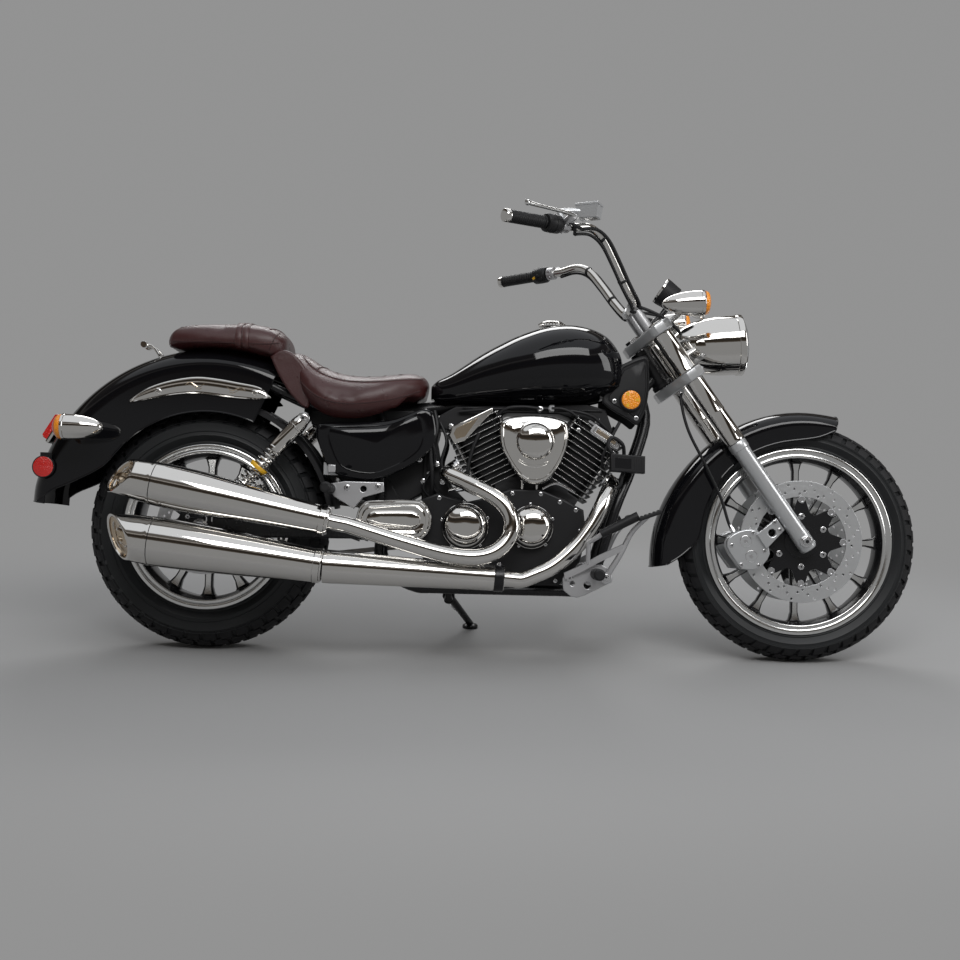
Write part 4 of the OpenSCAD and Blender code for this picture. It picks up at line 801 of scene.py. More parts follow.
def fender_line(centre, a, crown, edge, w, inset, steps):
    line = []
    ca, sa = math.cos(math.radians(a)), math.sin(math.radians(a))
    for k in range(-steps, steps + 1):
        t = abs(k) / steps
        skirt = t > 0.5
        q = math.radians(t / 0.5 * 90)
        y = (w if skirt else w * math.sin(q)) - (inset if skirt else inset * math.sin(q))
        drop = 0.55 * w
        r = (crown - drop) + (edge - crown + drop) * (t - 0.5) / 0.5 if skirt else crown - drop + drop * math.cos(q)
        r -= 0 if skirt else inset * math.cos(q)
        line.append((centre[0] + r * ca, math.copysign(y, k) if k else 0, centre[2] + r * sa))
    return line


def fender(name, centre, rows, w, body, node):
    piece = Piece()
    steps, t = 16, 3.0
    outer = [fender_line(centre, r[0], r[1], r[2], w / 2, 0, steps) for r in rows]
    inner = [fender_line(centre, r[0], r[1], r[2], w / 2, t, steps) for r in rows]
    rings = [o + i[::-1] for o, i in zip(outer, inner)]
    piece.loft(rings, GLOSS)
    # A rolled bead along both lower edges and round the ends
    for column, side in ((0, -1), (-1, 1)):
        piece.tube([Vector(o[column]) + Vector((0, -side * 1.5, 0)) for o in outer], 2.6, GLOSS, 8)
    for line in (outer[0], outer[-1]):
        piece.tube(line, 1.8, GLOSS, 8)
    return piece.done(name, body, "gloss_black", [node])


REAR_FENDER_ROWS = [(66 + 7 * k, REAR_FENDER_R - 2.4, 302.6) for k in range(12)] + [
    (150, REAR_FENDER_R - 2.4, 308), (157, REAR_FENDER_R - 2.4, 332), (163, REAR_FENDER_R - 2.4, 368),
    (168, REAR_FENDER_R - 2.4, 410), (173, REAR_FENDER_R - 6, 442)]
FRONT_FENDER_ROWS = [(73, 36, -8), (80, 33, -34), (90, 31, -47), (105, 29, -50), (120, 29, -50), (135, 31, -50),
    (150, 38, -52),
                     (163, 50, -53), (175, 62, -53), (182, 69, -40), (188, 75, 0), (191, 79, 40)]


def fenders():
    fender("rear_mudguard", (0, 0, REAR_R), catmull(REAR_FENDER_ROWS, 3), REAR_FENDER_W, "frame", "rear_fender")
    rows = [(a, FRONT_R + crown, FRONT_R + edge) for a, crown, edge in catmull(FRONT_FENDER_ROWS, 3)]
    fender("front_mudguard", (WHEELBASE, 0, FRONT_R), rows, FRONT_FENDER_W, "fork", "front_fender")


def fender_trim():
    """The chrome rails, with raised edges, a generic scroll and two bolts each."""
    rows = [(64, 378, 381), (67, 366, 388), (70, 357, 392), (78, 346, 387), (86, 345, 388), (94, 349, 392),
        (102, 353, 392),
            (110, 358, 392), (116, 365, 390), (120, 373, 386), (122, 378, 383)]
    piece = Piece()

    def one(side):
        y = side * (REAR_FENDER_W / 2 + 0.3)
        rings = []
        for a, r0, r1 in catmull(rows, 4):
            ca, sa = math.cos(math.radians(a)), math.sin(math.radians(a))
            ring = []
            for share, lift in ((0, 0), (0.0, 5.0), (0.06, 6.6), (0.14, 6.2), (0.3, 7.6), (0.5, 8.6), (0.7, 7.6),
                (0.86, 6.2), (0.94, 6.6), (1, 5.0), (1, 0)):
                r = r0 + (r1 - r0) * share
                ring.append((r * ca, y + side * lift, REAR_R + r * sa))
            rings.append(ring)
        piece.loft(rings, CHROME)
        for a0, a1, r in ((99, 91, 372), (74, 82, 369)):
            curl = [(((r + 7 * math.sin(k * 0.55)) * math.cos(math.radians(a0 + (a1 - a0) * k / 12))), y + side * 8.4,
                     REAR_R + (r + 7 * math.sin(k * 0.55)) * math.sin(math.radians(a0 + (a1 - a0) * k / 12))) for k in range(13)]
            piece.tube(curl, [0.4 + 1.1 * math.sin(math.pi * k / 12) for k in range(13)], BRONZED, 6)
            inner = [(x, yy, z - 6) for x, yy, z in curl]
            piece.tube(inner[2:11], 0.8, BRONZED, 6)
        for a, r in ((70.5, 374), (110, 374)):
            spot = (r * math.cos(math.radians(a)), y + side * 7.0, REAR_R + r * math.sin(math.radians(a)))
            piece.turned(spot, Vector(spot) + Vector((0, side, 0)),
                [[0, 8.5], [1.4, 8.5], [2.4, 7.5], [3.2, 5.5], [1.8, 4.6], [1.8, 0.1]], CHROME, 24)

    both(one)
    piece.done("fender_strips", "frame", "chrome", ["fender_rails"])


def side_panels():
    piece = Piece()
    outline = [(292, 556), (292, 590), (330, 598), (480, 608), (575, 640), (600, 600), (596, 545), (560, 505),
        (500, 470), (430, 448), (335, 470)]
    smooth = [(p.x, p.y) for p in catmull([(x, z, 0) for x, z in outline + outline[:1]], 5)][:-1]
    for side in (1, -1):
        at = lying((0, side * 104, 0), side)
        rim = [[(x, z, 0) for x, z in smooth], [(x, z, 5) for x, z in smooth]]
        cx, cz = 450, 545
        for share, lift in ((0.97, 9), (0.93, 10.5), (0.80, 13), (0.78, 12.2), (0.76, 13.4), (0.5, 16.4),
            (0.25, 17.6), (0.02, 17.9)):
            rim.append([(cx + (x - cx) * share, cz + (z - cz) * share, lift) for x, z in smooth])
        piece.loft(rim, GLOSS, at)
        piece.bolt((330, side * 111, 485), (0, side, 0), 5)
        piece.tube([(457, side * 79, 560), (457, side * 105, 560)], 8, SATIN, 14)
    piece.done("side_panels", "frame", "gloss_black", ["side_covers"])


NECK_FOOT = fork_p(-FORK_OFFSET, 0, LOWER_YOKE + YOKE_T + 2)


def neck_panels():
    piece = Piece()
    lights = Piece()
    outline = [(-122, 50), (-58, 77), (-50, 40), (-48, -2), (-52, -40), (-58, -72), (-78, -109), (-104, -94),
        (-172, -52), (-150, -10)]
    line = [(p.x, p.y) for p in catmull([(x, z, 0) for x, z in outline + outline[:1]], 3)][:-1]
    for side in (1, -1):
        at = lying((NECK_FOOT.x, side * 60, NECK_FOOT.z), side)
        cx, cz = -92, -20
        rings = [[(x, z, 0) for x, z in line]]
        for share, lift in ((1.0, 6), (0.96, 9), (0.9, 9.6), (0.86, 7.4), (0.8, 7.4), (0.76, 9.8), (0.4, 10.8),
            (0.02, 11)):
            rings.append([(cx + (x - cx) * share, cz + (z - cz) * share, lift) for x, z in line])
        piece.loft(rings, PLASTIC, at)
        piece.tube([(HEAD_FOOT.x, side * 39, HEAD_FOOT.z), (HEAD_FOOT.x, side * 61, HEAD_FOOT.z)], 7, SATIN, 12)
        for x, z in ((-140, -48), (-82, -92)):
            piece.bolt((NECK_FOOT.x + x, side * 69.5, NECK_FOOT.z + z), (0, side, 0), 4.5)
        c = Vector((NECK_FOOT.x - 97, side * 71.3, NECK_FOOT.z - 44))
        out = c + Vector((0, side, 0))
        lights.turned(c, out, [[0, 30], [6, 30], [8, 28], [8, 25.5], [5, 25.5], [5, 0.1]], PLASTIC, 40)
        lights.turned(c, out, [[5, 25], [7.5, 24.5], [8.6, 22], [9.4, 12], [9.6, 0.1]], AMBER, 40)
        for k in range(6):
            a = math.tau * k / 6
            fin = [(4 * math.cos(a), 4 * math.sin(a)), (22 * math.cos(a - 0.22), 22 * math.sin(a - 0.22)),
                   (22 * math.cos(a + 0.22), 22 * math.sin(a + 0.22))]
            lights.plate([fin], 0.8, AMBER if k % 2 else YELLOW, lying(c + Vector((0, side * 8.6, 0)), side))
    piece.done("neck_panels", "frame", "black_plastic", ["neck_covers"])
    lights.done("neck_lenses", "frame", "amber", ["neck_reflectors"])


def tail():
    """Tail lamp, reflectors, signals and the small bracket on the fender."""
    lamp = Piece()
    at = Matrix.Translation((0, 0, REAR_R)) @ Matrix.Rotation(-math.radians(149), 4,
        "Y") @ Matrix.Translation((REAR_FENDER_R + 0.3, 0, 0))
    at = at @ Matrix.Rotation(math.radians(90), 4, "Y")
    lamp.box((84, 82, 12), at, CHROME, 3)
    lens = [[(sx * x, sy * y, z) for sx, sy in ((1, 1), (-1, 1), (-1, -1), (1, -1))] for x, y,
        z in ((36, 35, 11), (36, 35, 24), (32, 31, 31), (22, 22, 33.5))]
    lamp.loft(lens, RED, at)
    lamp.done("tail_light", "frame", "red", ["tail_lamp"], bevel=2)
    discs = Piece()
    for side in (1, -1):
        c = Vector((-421, side * (REAR_FENDER_W / 2 + 0.3), 466))
        out = c + Vector((0, side, 0))
        discs.turned(c, out, [[0, 24], [3, 29.5], [9, 29.5], [10.5, 28.6], [10.5, 26]], PLASTIC, 48)
        discs.turned(c, out, [[7, 27], [10.4, 26.6], [11.6, 24], [12, 0.1]], RED, 48)
        discs.box((30, 16, 5), lying((c.x + 4, c.y, c.z + 30), side), PLASTIC, 1.5)
    discs.done("round_reflectors", "frame", "red", ["rear_reflectors"])
    shells, lenses = Piece(), Piece()

    def signal(side):
        p = Vector((-350, side * 175, 566))
        shells.turned(p + Vector((104, 0, 0)), p, bullet(92, 33) + [[96, 33], [97, 34], [103, 34], [104, 33]],
            CHROME, 48)
        shells.tube([(-310, side * 97.5, 566), (-310, side * 150, 566)], 9, CHROME, 18)
        shells.turned((-310, side * 97.5, 566), (-310, side * 120, 566), [[0, 17], [4, 17], [8, 10]], CHROME, 24)
        lenses.turned(p, p - Vector((1, 0, 0)), [[0.3, 32], [6, 32], [10, 31], [14, 28]], AMBER, 40)
        lenses.turned(p, p - Vector((1, 0, 0)), [[13, 28], [18, 24], [23, 15], [25.5, 0.1]], RED, 40)

    both(signal)
    shells.done("rear_signal_shells", "frame", "chrome", ["rear_signals"])
    lenses.done("rear_signal_glasses", "frame", "amber", ["rear_signal_lenses"])
    clip = Piece()
    top = REAR_R + REAR_FENDER_R
    for side in (1, -1):
        clip.tube([(-150, side * 22, top - 24), (-162, side * 22, top - 6), (-172, side * 20, top + 2),
            (-192, side * 20, top + 6)], 4, CHROME, 10)
        clip.turned((-192, side * 14, top + 6), (-192, side * 30, top + 6), [[0, 8], [1, 9], [15, 9], [16, 8]],
            CHROME, 24)
    clip.tube([(-176, -20, top + 2), (-176, 20, top + 2)], 3.5, CHROME, 10)
    clip.done("fender_bracket", "frame", "chrome")


def bullet(length, r):
    """Rows of a bullet-shaped lamp, from its tip to its full radius."""
    return [[length * (1 - math.cos(math.radians(a))), max(r * math.sin(math.radians(a)), 0.1)] for a in range(0,
        91, 6)]


# ---- Seats ----


CLOTH_PRESSURE, CLOTH_FRAMES = 4, 20
SEAT_VOXEL = 0.0055


def plump(obj, voxel, cap, rest_z):
    """Foam under stretched leather: a short cloth simulation under pressure, held to a cap and to the seat's base."""
    remesh = obj.modifiers.new("remesh", "REMESH")
    remesh.mode = "VOXEL"
    remesh.voxel_size = voxel
    even = obj.modifiers.new("even", "SMOOTH")
    even.factor, even.iterations = 0.5, 6
    bake(obj)
    start = [v.co.copy() for v in obj.data.vertices]
    cloth = obj.modifiers.new("cloth", "CLOTH")
    cloth.settings.use_pressure = True
    cloth.settings.uniform_pressure_force = CLOTH_PRESSURE
    cloth.settings.effector_weights.gravity = 0
    cloth.settings.quality = 5
    for f in range(1, CLOTH_FRAMES + 1):
        bpy.context.scene.frame_set(f)
    graph = bpy.context.evaluated_depsgraph_get()
    swollen = [v.co.copy() for v in obj.evaluated_get(graph).data.vertices]
    obj.modifiers.clear()
    bpy.context.scene.frame_set(1)
    for v, a, b in zip(obj.data.vertices, start, swollen):
        upright = UPRIGHT.inverted() @ (a - REAR_AXLE)
        share = min(max((upright.z + REAR_R * MM - rest_z * MM) / 0.03, 0), 1)
        move = (b - a) * share
        v.co = a + move * min(1, cap / max(move.length, 1e-9))
    settle = obj.modifiers.new("settle", "SMOOTH")
    settle.factor, settle.iterations = 0.5, 10
    bake(obj)


def surface_of(obj):
    graph = bpy.context.evaluated_depsgraph_get()
    return BVHTree.FromObject(obj, graph)


def on_surface(tree, p, toward, lift):
    """The point where a ray from p, in the bike's frame, meets a surface, lifted off it."""
    a = BIKE @ Vector(p)
    d = (BIKE.to_3x3() @ Vector(toward)).normalized()
    hit, normal, _, _ = tree.ray_cast(a, d)
    if hit is None:
        return None
    return BIKE.inverted() @ (hit + normal * lift * MM)


def sew(piece, tree, points, toward, stitch=6.0, rows=(-3.2, 3.2)):
    """A seam laid on a surface, with a row of stitches on each side of it."""
    line = [on_surface(tree, p, toward, 0.1) for p in catmull(points, 10)]
    line = [p for p in line if p is not None]
    if len(line) < 4:
        return
    piece.tube(line, 1.7, SEAM, 6)
    travelled = 0.0
    for a, b in zip(line, line[1:]):
        along = b - a
        travelled += along.length
        if travelled < stitch or along.length < 0.01:
            continue
        travelled = 0.0
        across = along.cross(Vector(toward)).normalized()
        for row in rows:
            mid = on_surface(tree, a + across * row - Vector(toward) * 30, toward, 0.25)
            if mid is not None:
                half = along.normalized() * stitch * 0.3
                piece.tube([mid - half, mid, mid + half], 0.55, THREAD, 5)


FRONT_SEAT_ROWS = [(209, 0.45, 706, 790), (222, 0.62, 676, 795), (245, 0.74, 652, 784), (275, 0.86, 628, 763),
    (311, 0.95, 607, 743),
                   (365, 0.99, 598, 730), (430, 0.97, 606, 728), (490, 0.85, 624, 735), (540, 0.67, 640, 738),
                   (568, 0.47, 654, 729),
                   (577, 0.28, 667, 714)]
REAR_SEAT_ROWS = [(-118, 0.50, 796, 817), (-110, 0.67, 789, 834), (-88, 0.79, 786, 848), (-42, 0.91, 784, 855),
    (20, 0.97, 782, 857),
                  (75, 0.99, 780, 858), (120, 0.99, 778, 857), (165, 0.95, 778, 848), (190, 0.85, 780, 834),
                  (201, 0.69, 786, 821)]


def seats():
    front = Piece()
    rows = catmull(FRONT_SEAT_ROWS, 3)
    front.loft([cross_ring(r[0], r[1] * FRONT_SEAT_W / 2, r[2], r[3], 0.4, 56, 2.6, 0.10) for r in rows], LEATHER)
    obj = front.done("rider_seat", "frame", "seat_leather", ["front_seat"])
    hollow = Piece()
    hollow.plate([[(150, 560), (620, 560), (640, 560), (640, 677), (430, 660), (330, 660), (240, 712), (190, 740),
        (150, 740)]],
                 212, LEATHER, lying((0, -106, 0)))
    cut_away(obj, hollow)
    plump(obj, SEAT_VOXEL, 0.006, 640)
    dish(obj)
    subdivide(obj)
    tree = surface_of(obj)
    seams = Piece()
    for side in (1, -1):
        toward = (0, -side, 0)
        start_y = side * 300
        sew(seams, tree, [(x, start_y, z) for x,
            z in ((224, 742), (246, 704), (280, 672), (320, 652), (370, 644), (430, 648), (500, 664), (560, 690))],
                toward)
        sew(seams, tree, [(x, start_y, z) for x,
            z in ((240, 782), (266, 752), (300, 728), (345, 712), (400, 706), (460, 708), (520, 716), (562, 722))],
                toward)
    # The stitched edge of the sitting area, with short ribs across it
    sew(seams, tree, [(x, y, 900) for x, y in ((286, -96), (300, -60), (306, 0), (300, 60), (286, 96))], (0, 0, -1))
    for side in (1, -1):
        for x in (330, 372, 414, 456, 498):
            sew(seams, tree, [(x, side * 30, 900), (x + 4, side * 52, 900), (x + 8, side * 78, 900)], (0, 0, -1),
                rows=(-4, 4))
        # The skirt that wraps down beside the fender
        skirt = [(p.x, p.y) for p in catmull([(x, z, 0) for x, z in (
            (164, 768), (192, 786), (226, 776), (262, 730), (272, 652), (258, 636), (222, 668), (188, 718),
            (164, 768))], 4)][:-1]
        seams.plate([skirt], 15, LEATHER, lying((0, 98 if side > 0 else -113, 0)), 6)
    seams.done("rider_seat_seams", "frame", "seat_leather")

    rear = Piece()
    rows = catmull(REAR_SEAT_ROWS, 3)
    rear.loft([cross_ring(r[0], r[1] * REAR_SEAT_W / 2, r[2] - 26, r[3], 0.5, 56, 2.6) for r in rows], LEATHER)
    obj = rear.done("passenger_seat", "frame", "seat_leather", ["rear_seat"])
    under = Piece()
    under.plate([[(0, REAR_R)] + arc(REAR_FENDER_R + 1, 50, 130, 40, 0, REAR_R)], 300, LEATHER, lying((0, -150, 0)))
    cut_away(obj, under)
    plump(obj, SEAT_VOXEL, 0.005, 770)
    subdivide(obj)
    tree = surface_of(obj)
    seams = Piece()
    for side in (1, -1):
        toward = (0, -side, 0)
        sew(seams, tree, [(x, side * 300, z) for x,
            z in ((-96, 806), (-60, 804), (0, 803), (80, 801), (150, 800), (186, 804))], toward)
        sew(seams, tree, [(x, side * 300, z) for x, z in ((182, 836), (172, 812), (160, 784))], toward)
    sew(seams, tree, [(x, y, 950) for x, y in ((158, -92), (176, -40), (180, 0), (176, 40), (158, 92))], (0, 0, -1))
    sew(seams, tree, [(x, y, 950) for x, y in ((-80, -70), (-92, -30), (-94, 0), (-92, 30), (-80, 70))], (0, 0, -1))
    seams.done("passenger_seat_seams", "frame", "seat_leather")
    strap(tree)


def strap(tree):
    """Two bands side by side over the passenger's seat, laid on its leather."""
    piece = Piece()
    for x0, x1 in ((71.5, 88), (91, 107.5)):
        rings = []
        for k in range(49):
            a = math.radians(195 - 210 * k / 48)
            mid = Vector((0, 150 * math.cos(a), 806 + 90 * math.sin(a)))
            toward = Vector((0, -math.cos(a), -math.sin(a)))
            ring = []
            for x, lift in ((x0, 0.2), (x0 + 0.8, 2.6), (x0 + 3, 3.4), ((x0 + x1) / 2, 3.8), (x1 - 3, 3.4),
                (x1 - 0.8, 2.6), (x1, 0.2)):
                p = on_surface(tree, (x, mid.y, mid.z), toward, lift)
                if p is None:
                    break
                ring.append(p)
            if len(ring) == 7:
                rings.append(ring)
        piece.loft(rings, LEATHER)
        for x in (x0 + 2.6, x1 - 2.6):
            middle = [on_surface(tree, (x, 150 * math.cos(a), 806 + 90 * math.sin(a)),
                (0, -math.cos(a), -math.sin(a)), 3.6)
                      for a in (math.radians(190 - 200 * k / 60) for k in range(61))]
            middle = [p for p in middle if p is not None]
            for i in range(0, len(middle) - 1, 2):
                piece.tube([middle[i], middle[i + 1]], 0.5, THREAD, 5)
    piece.done("passenger_strap", "frame", "seat_leather", ["seat_strap"])


def dish(obj):
    """Presses a soft hollow into the rider's seat and two rows of pads round it."""
    lift = UPRIGHT.to_3x3() @ Vector((0, 0, 1))
    to_bike = BIKE.inverted()
    for v in obj.data.vertices:
        p = to_bike @ v.co
        if v.normal.dot(lift) < 0.3:
            continue
        across = max(0, 1 - (abs(p.y) / 118) ** 4)
        along = max(0, 1 - ((p.x - 410) / 150) ** 2)
        ribs = 0.5 + 0.5 * math.cos((p.x - 330) / 42 * math.tau)
        v.co -= lift * MM * (3.0 * across * along + 1.6 * (ribs**6) * along * (30 < abs(p.y) < 80))


def subdivide(obj):
    smooth = obj.modifiers.new("smooth", "SUBSURF")
    smooth.levels = smooth.render_levels = 1
    bake(obj)
    obj.data.shade_smooth()

# ---- Engine ----

CRANK = Vector((850, 0, 320))
BANKS = {"rear": -27, "front": 33}


def bank_frame(bank):
    """A cylinder's frame: X across it, Y left, Z up along it from the crankshaft."""
    return Matrix.Translation(CRANK) @ Matrix.Rotation(math.radians(bank), 4, "Y")


def cylinder(name, bank):
    piece = Piece()
    at = bank_frame(bank)
    pitch = 185 / 12

    def rounded(x, y, r, n=5):
        line = []
        for cx, cy, a in ((x - r, y - r, 0), (-x + r, y - r, 90), (-x + r, -y + r, 180), (x - r, -y + r, 270)):
            line += arc(r, a, a + 90, n, cx, cy)
        return line

    piece.plate([rounded(60, 71, 26)], 185, ENGINE, at @ Matrix.Translation((0, 0, 150)), 0)
    for k in range(12):
        z = 150 + pitch * (k + 0.35)
        wide = 81.5 if k < 8 else 79
        piece.plate([rounded(wide, 84.5, 22)], 3.2, ENGINE, at @ Matrix.Translation((0, 0, z)), 0.6)
        rim = rounded(wide + 0.3, 84.8, 22, 8)
        inner = rounded(wide - 2.2, 82.4, 20, 8)
        piece.plate([rim, inner], 1.2, POLISHED, at @ Matrix.Translation((0, 0, z + 1)), 0.2)
    # Studs between the fins
    for x in (-66, 66):
        for y in (-62, 62):
            piece.tube([at @ Vector((x, y, 154)), at @ Vector((x, y, 334))], 4.5, BOLT, 10)
    # Rocker cover, with its framed plate and bolts
    piece.plate([rounded(46, 54, 18)], 9, CAST, at @ Matrix.Translation((0, 0, 335)), 2.5)
    piece.plate([rounded(38, 45, 12), rounded(33, 40, 10)], 2.4, POLISHED, at @ Matrix.Translation((0, 0, 343.6)), 0.8)
    piece.plate([rounded(31, 38, 8)], 1.4, SATIN, at @ Matrix.Translation((0, 0, 343.6)), 0.4)
    for x, y in ((-40, -48), (40, -48), (-40, 48), (40, 48)):
        piece.bolt(at @ Vector((x, y, 343)), at.to_3x3() @ Vector((0, 0, 1)), 3)
    # The head's side covers: a bright wedge on the rear one, a framed plate on the front one
    for s in (1, -1):
        side_at = at @ lying((0, s * 72, 0), s)
        if name == "rear":
            wedge = [(-72, 296), (-74, 322), (-58, 340), (60, 340), (56, 330), (-44, 292)]
            piece.plate([wedge], 14, CHROME, side_at, 2)
            piece.plate([[(-62, 306), (-62, 322), (-50, 332), (16, 332), (-38, 302)]], 2, BRONZED,
                side_at @ Matrix.Translation((0, 0, 13)), 0.5)
        else:
            frame_at = side_at @ Matrix.Translation((26, 326, 0))
            piece.plate([rounded(44, 13, 5)], 13, CAST, frame_at, 1.5)
            piece.plate([rounded(38, 9, 3), rounded(33, 6, 2)], 1.8, POLISHED,
                frame_at @ Matrix.Translation((0, 0, 12.2)), 0.5)
            piece.plate([rounded(30, 5, 2)], 1.2, BRONZED, frame_at @ Matrix.Translation((0, 0, 12.2)), 0.3)
            for x in (-54, 54):
                piece.bolt(side_at @ Vector((x + 10, 300, 12)), side_at.to_3x3() @ Vector((0, 0, 1)), 4)
    piece.done(name + "_barrel", "frame", "engine_black", [name + "_cylinder"])


def crankcase():
    piece = Piece()
    outline = [(560, 300), (585, 225), (640, 186), (930, 186), (985, 250), (1000, 320), (992, 385), (940, 412),
        (880, 436), (800, 436),
               (740, 412), (690, 400), (664, 406), (610, 420), (560, 400)]
    piece.plate([outline], 187, ENGINE, lying((0, -109.5, 0)), 5)
    left = [(664, 255), (664, 200), (930, 186), (985, 250), (1000, 320), (992, 385), (940, 412), (880, 436),
        (800, 436), (740, 412), (690, 400), (664, 406)]
    piece.plate([left], 34, ENGINE, lying((0, 75.5, 0)), 4)
    for bank in BANKS.values():
        at = bank_frame(bank)
        piece.plate([[(-59, -84), (59, -84), (59, 84), (-59, 84)]], 74, ENGINE,
            at @ Matrix.Translation((0, 0, 75.6)), 3)
    saddle = [(750, 398), (960, 388), (950, 452), (900, 470), (852, 463), (800, 470), (762, 455)]
    piece.plate([saddle], 168, ENGINE, lying((0, -84, 0)), 3)
    # Ribs and bolts round the case's right side
    for x, z in ((600, 232), (660, 198), (760, 196), (860, 196), (922, 200), (972, 262), (984, 330), (972, 384),
        (930, 404), (880, 424),
                 (806, 424), (752, 402), (616, 408), (572, 392), (572, 306)):
        for s in (1, -1):
            if s > 0 and x < 664:
                continue
            piece.bolt((x, s * 109.2, z), (0, s, 0), 4, washer=True)
    for k in range(6):
        x = 700 + 34 * k
        piece.plate([[(x, 188), (x + 5, 188), (x + 5, 206), (x, 206)]], 216, ENGINE, lying((0, -108, 0)), 1)
    piece.turned((760, 0, 188), (760, 0, 186.4), [[0, 16], [1, 16], [1.5, 14]], BOLT, 6)
    # Pushrod and oil lines in the valley
    for x, z in ((832, 470), (870, 470)):
        piece.tube([(x, -78, 430), (x, -80, 470), (x + (x - 850) * 1.6, -80, 520)], 6, CHROME, 14)
    piece.done("engine_case", "frame", "engine_black", ["crankcase"])


def covers():
    piece = Piece()
    for x, z, r in ((685, 336, 61.5), (857, 338, 57.5)):
        start, stop = (x, -110.3, z), (x, -120, z)
        piece.turned(start, stop, [[0, r], [5, r], [6, r - 1]], ENGINE, 72)
        rows = [[5, r - 1], [7, r - 1.2], [8, r - 2.4],
            [8.6, r - 2.4]] + [[9 + 34.6 * math.sin(math.radians(a)),
            max((r - 2.6) * math.cos(math.radians(a)) ** 0.8, 0.1)] for a in range(0, 91, 5)]
        piece.turned(start, stop, rows, CHROME, 96)
        for k in range(5):
            a = math.tau * (k + 0.3) / 5
            piece.bolt((x + (r + 1.5) * math.cos(a), -111, z + (r + 1.5) * math.sin(a)), (0, -1, 0), 3)
    oval = [(p.x, p.y) for p in catmull([(x, z, 0) for x, z in (
        (403, 345), (409, 322), (424, 306), (446, 300), (556, 298), (580, 306), (594, 324), (598, 348), (594, 374),
        (580, 392), (556, 400),
        (446, 396), (424, 390), (409, 372), (403, 345))], 3)][:-1]
    cx, cz = 500, 348

    def scaled(share_x, share_z, y):
        return [(cx + (x - cx) * share_x, cz + (z - cz) * share_z, y) for x, z in oval]

    at = lying((0, -132.2, 0), -1)
    piece.loft([scaled(1, 1, 0), scaled(1, 1, 7), scaled(0.985, 0.97, 9)], CHROME, at)
    piece.loft([scaled(0.96, 0.93, 8), scaled(0.955, 0.92, 13), scaled(0.93, 0.88, 15)], CHROME, at)
    piece.loft([scaled(0.86, 0.76, 14), scaled(0.85, 0.74, 18), scaled(0.82, 0.68, 19.6), scaled(0.74, 0.54, 16.4),
        scaled(0.71, 0.48, 16.4), scaled(0.69, 0.44, 19), scaled(0.62, 0.34, 21), scaled(0.4, 0.16, 21.8),
            scaled(0.02, 0.02, 21.8)], CHROME, at)
    piece.plate([[(562, 322), (590, 322), (590, 378), (562, 378)]], 22, ENGINE, lying((0, -132.6, 0)), 1)
    piece.done("case_covers", "frame", "chrome", ["engine_covers_right"])
    left = Piece()
    start, stop = (857, 110.3, 338), (857, 120, 338)
    rows = [[0, 95.5], [9, 95.5], [11, 93]] + [[12 + 33.6 * math.sin(math.radians(a)),
        max(92 * math.cos(math.radians(a)), 0.1)] for a in range(0, 91, 6)]
    left.turned(start, stop, rows, PAINTED, 96)
    left.turned((857, 150, 338), (857, 151, 338), [[0, 32], [4.4, 31], [5.8, 26]], CHROME, 48)
    for k in range(9):
        a = math.tau * k / 9
        left.bolt((857 + 88 * math.cos(a), 121.5, 338 + 88 * math.sin(a)), (0, 1, 0), 3.6)
    side = [(560, 300), (590, 262), (700, 256), (740, 300), (740, 380), (690, 408), (600, 400), (560, 376)]
    mx, mz = 650, 334
    smooth = [(p.x, p.y) for p in catmull([(x, z, 0) for x, z in side + side[:1]], 3)][:-1]
    left.loft([[(mx + (x - mx) * s, mz + (z - mz) * s, y) for x, z in smooth]
               for s, y in ((0.995, 0), (0.995, 14), (0.95, 19), (0.86, 21.5), (0.84, 20), (0.5, 22.6),
                   (0.02, 23.4))], PAINTED, lying((0, 110.5, 0)))
    for x, z in ((574, 306), (600, 272), (694, 266), (728, 304), (728, 374), (686, 396), (606, 390)):
        left.bolt((x, 128.6, z), (0, 1, 0), 3.4)
    left.done("left_case_covers", "frame", "silver_paint", ["engine_cover_left"])


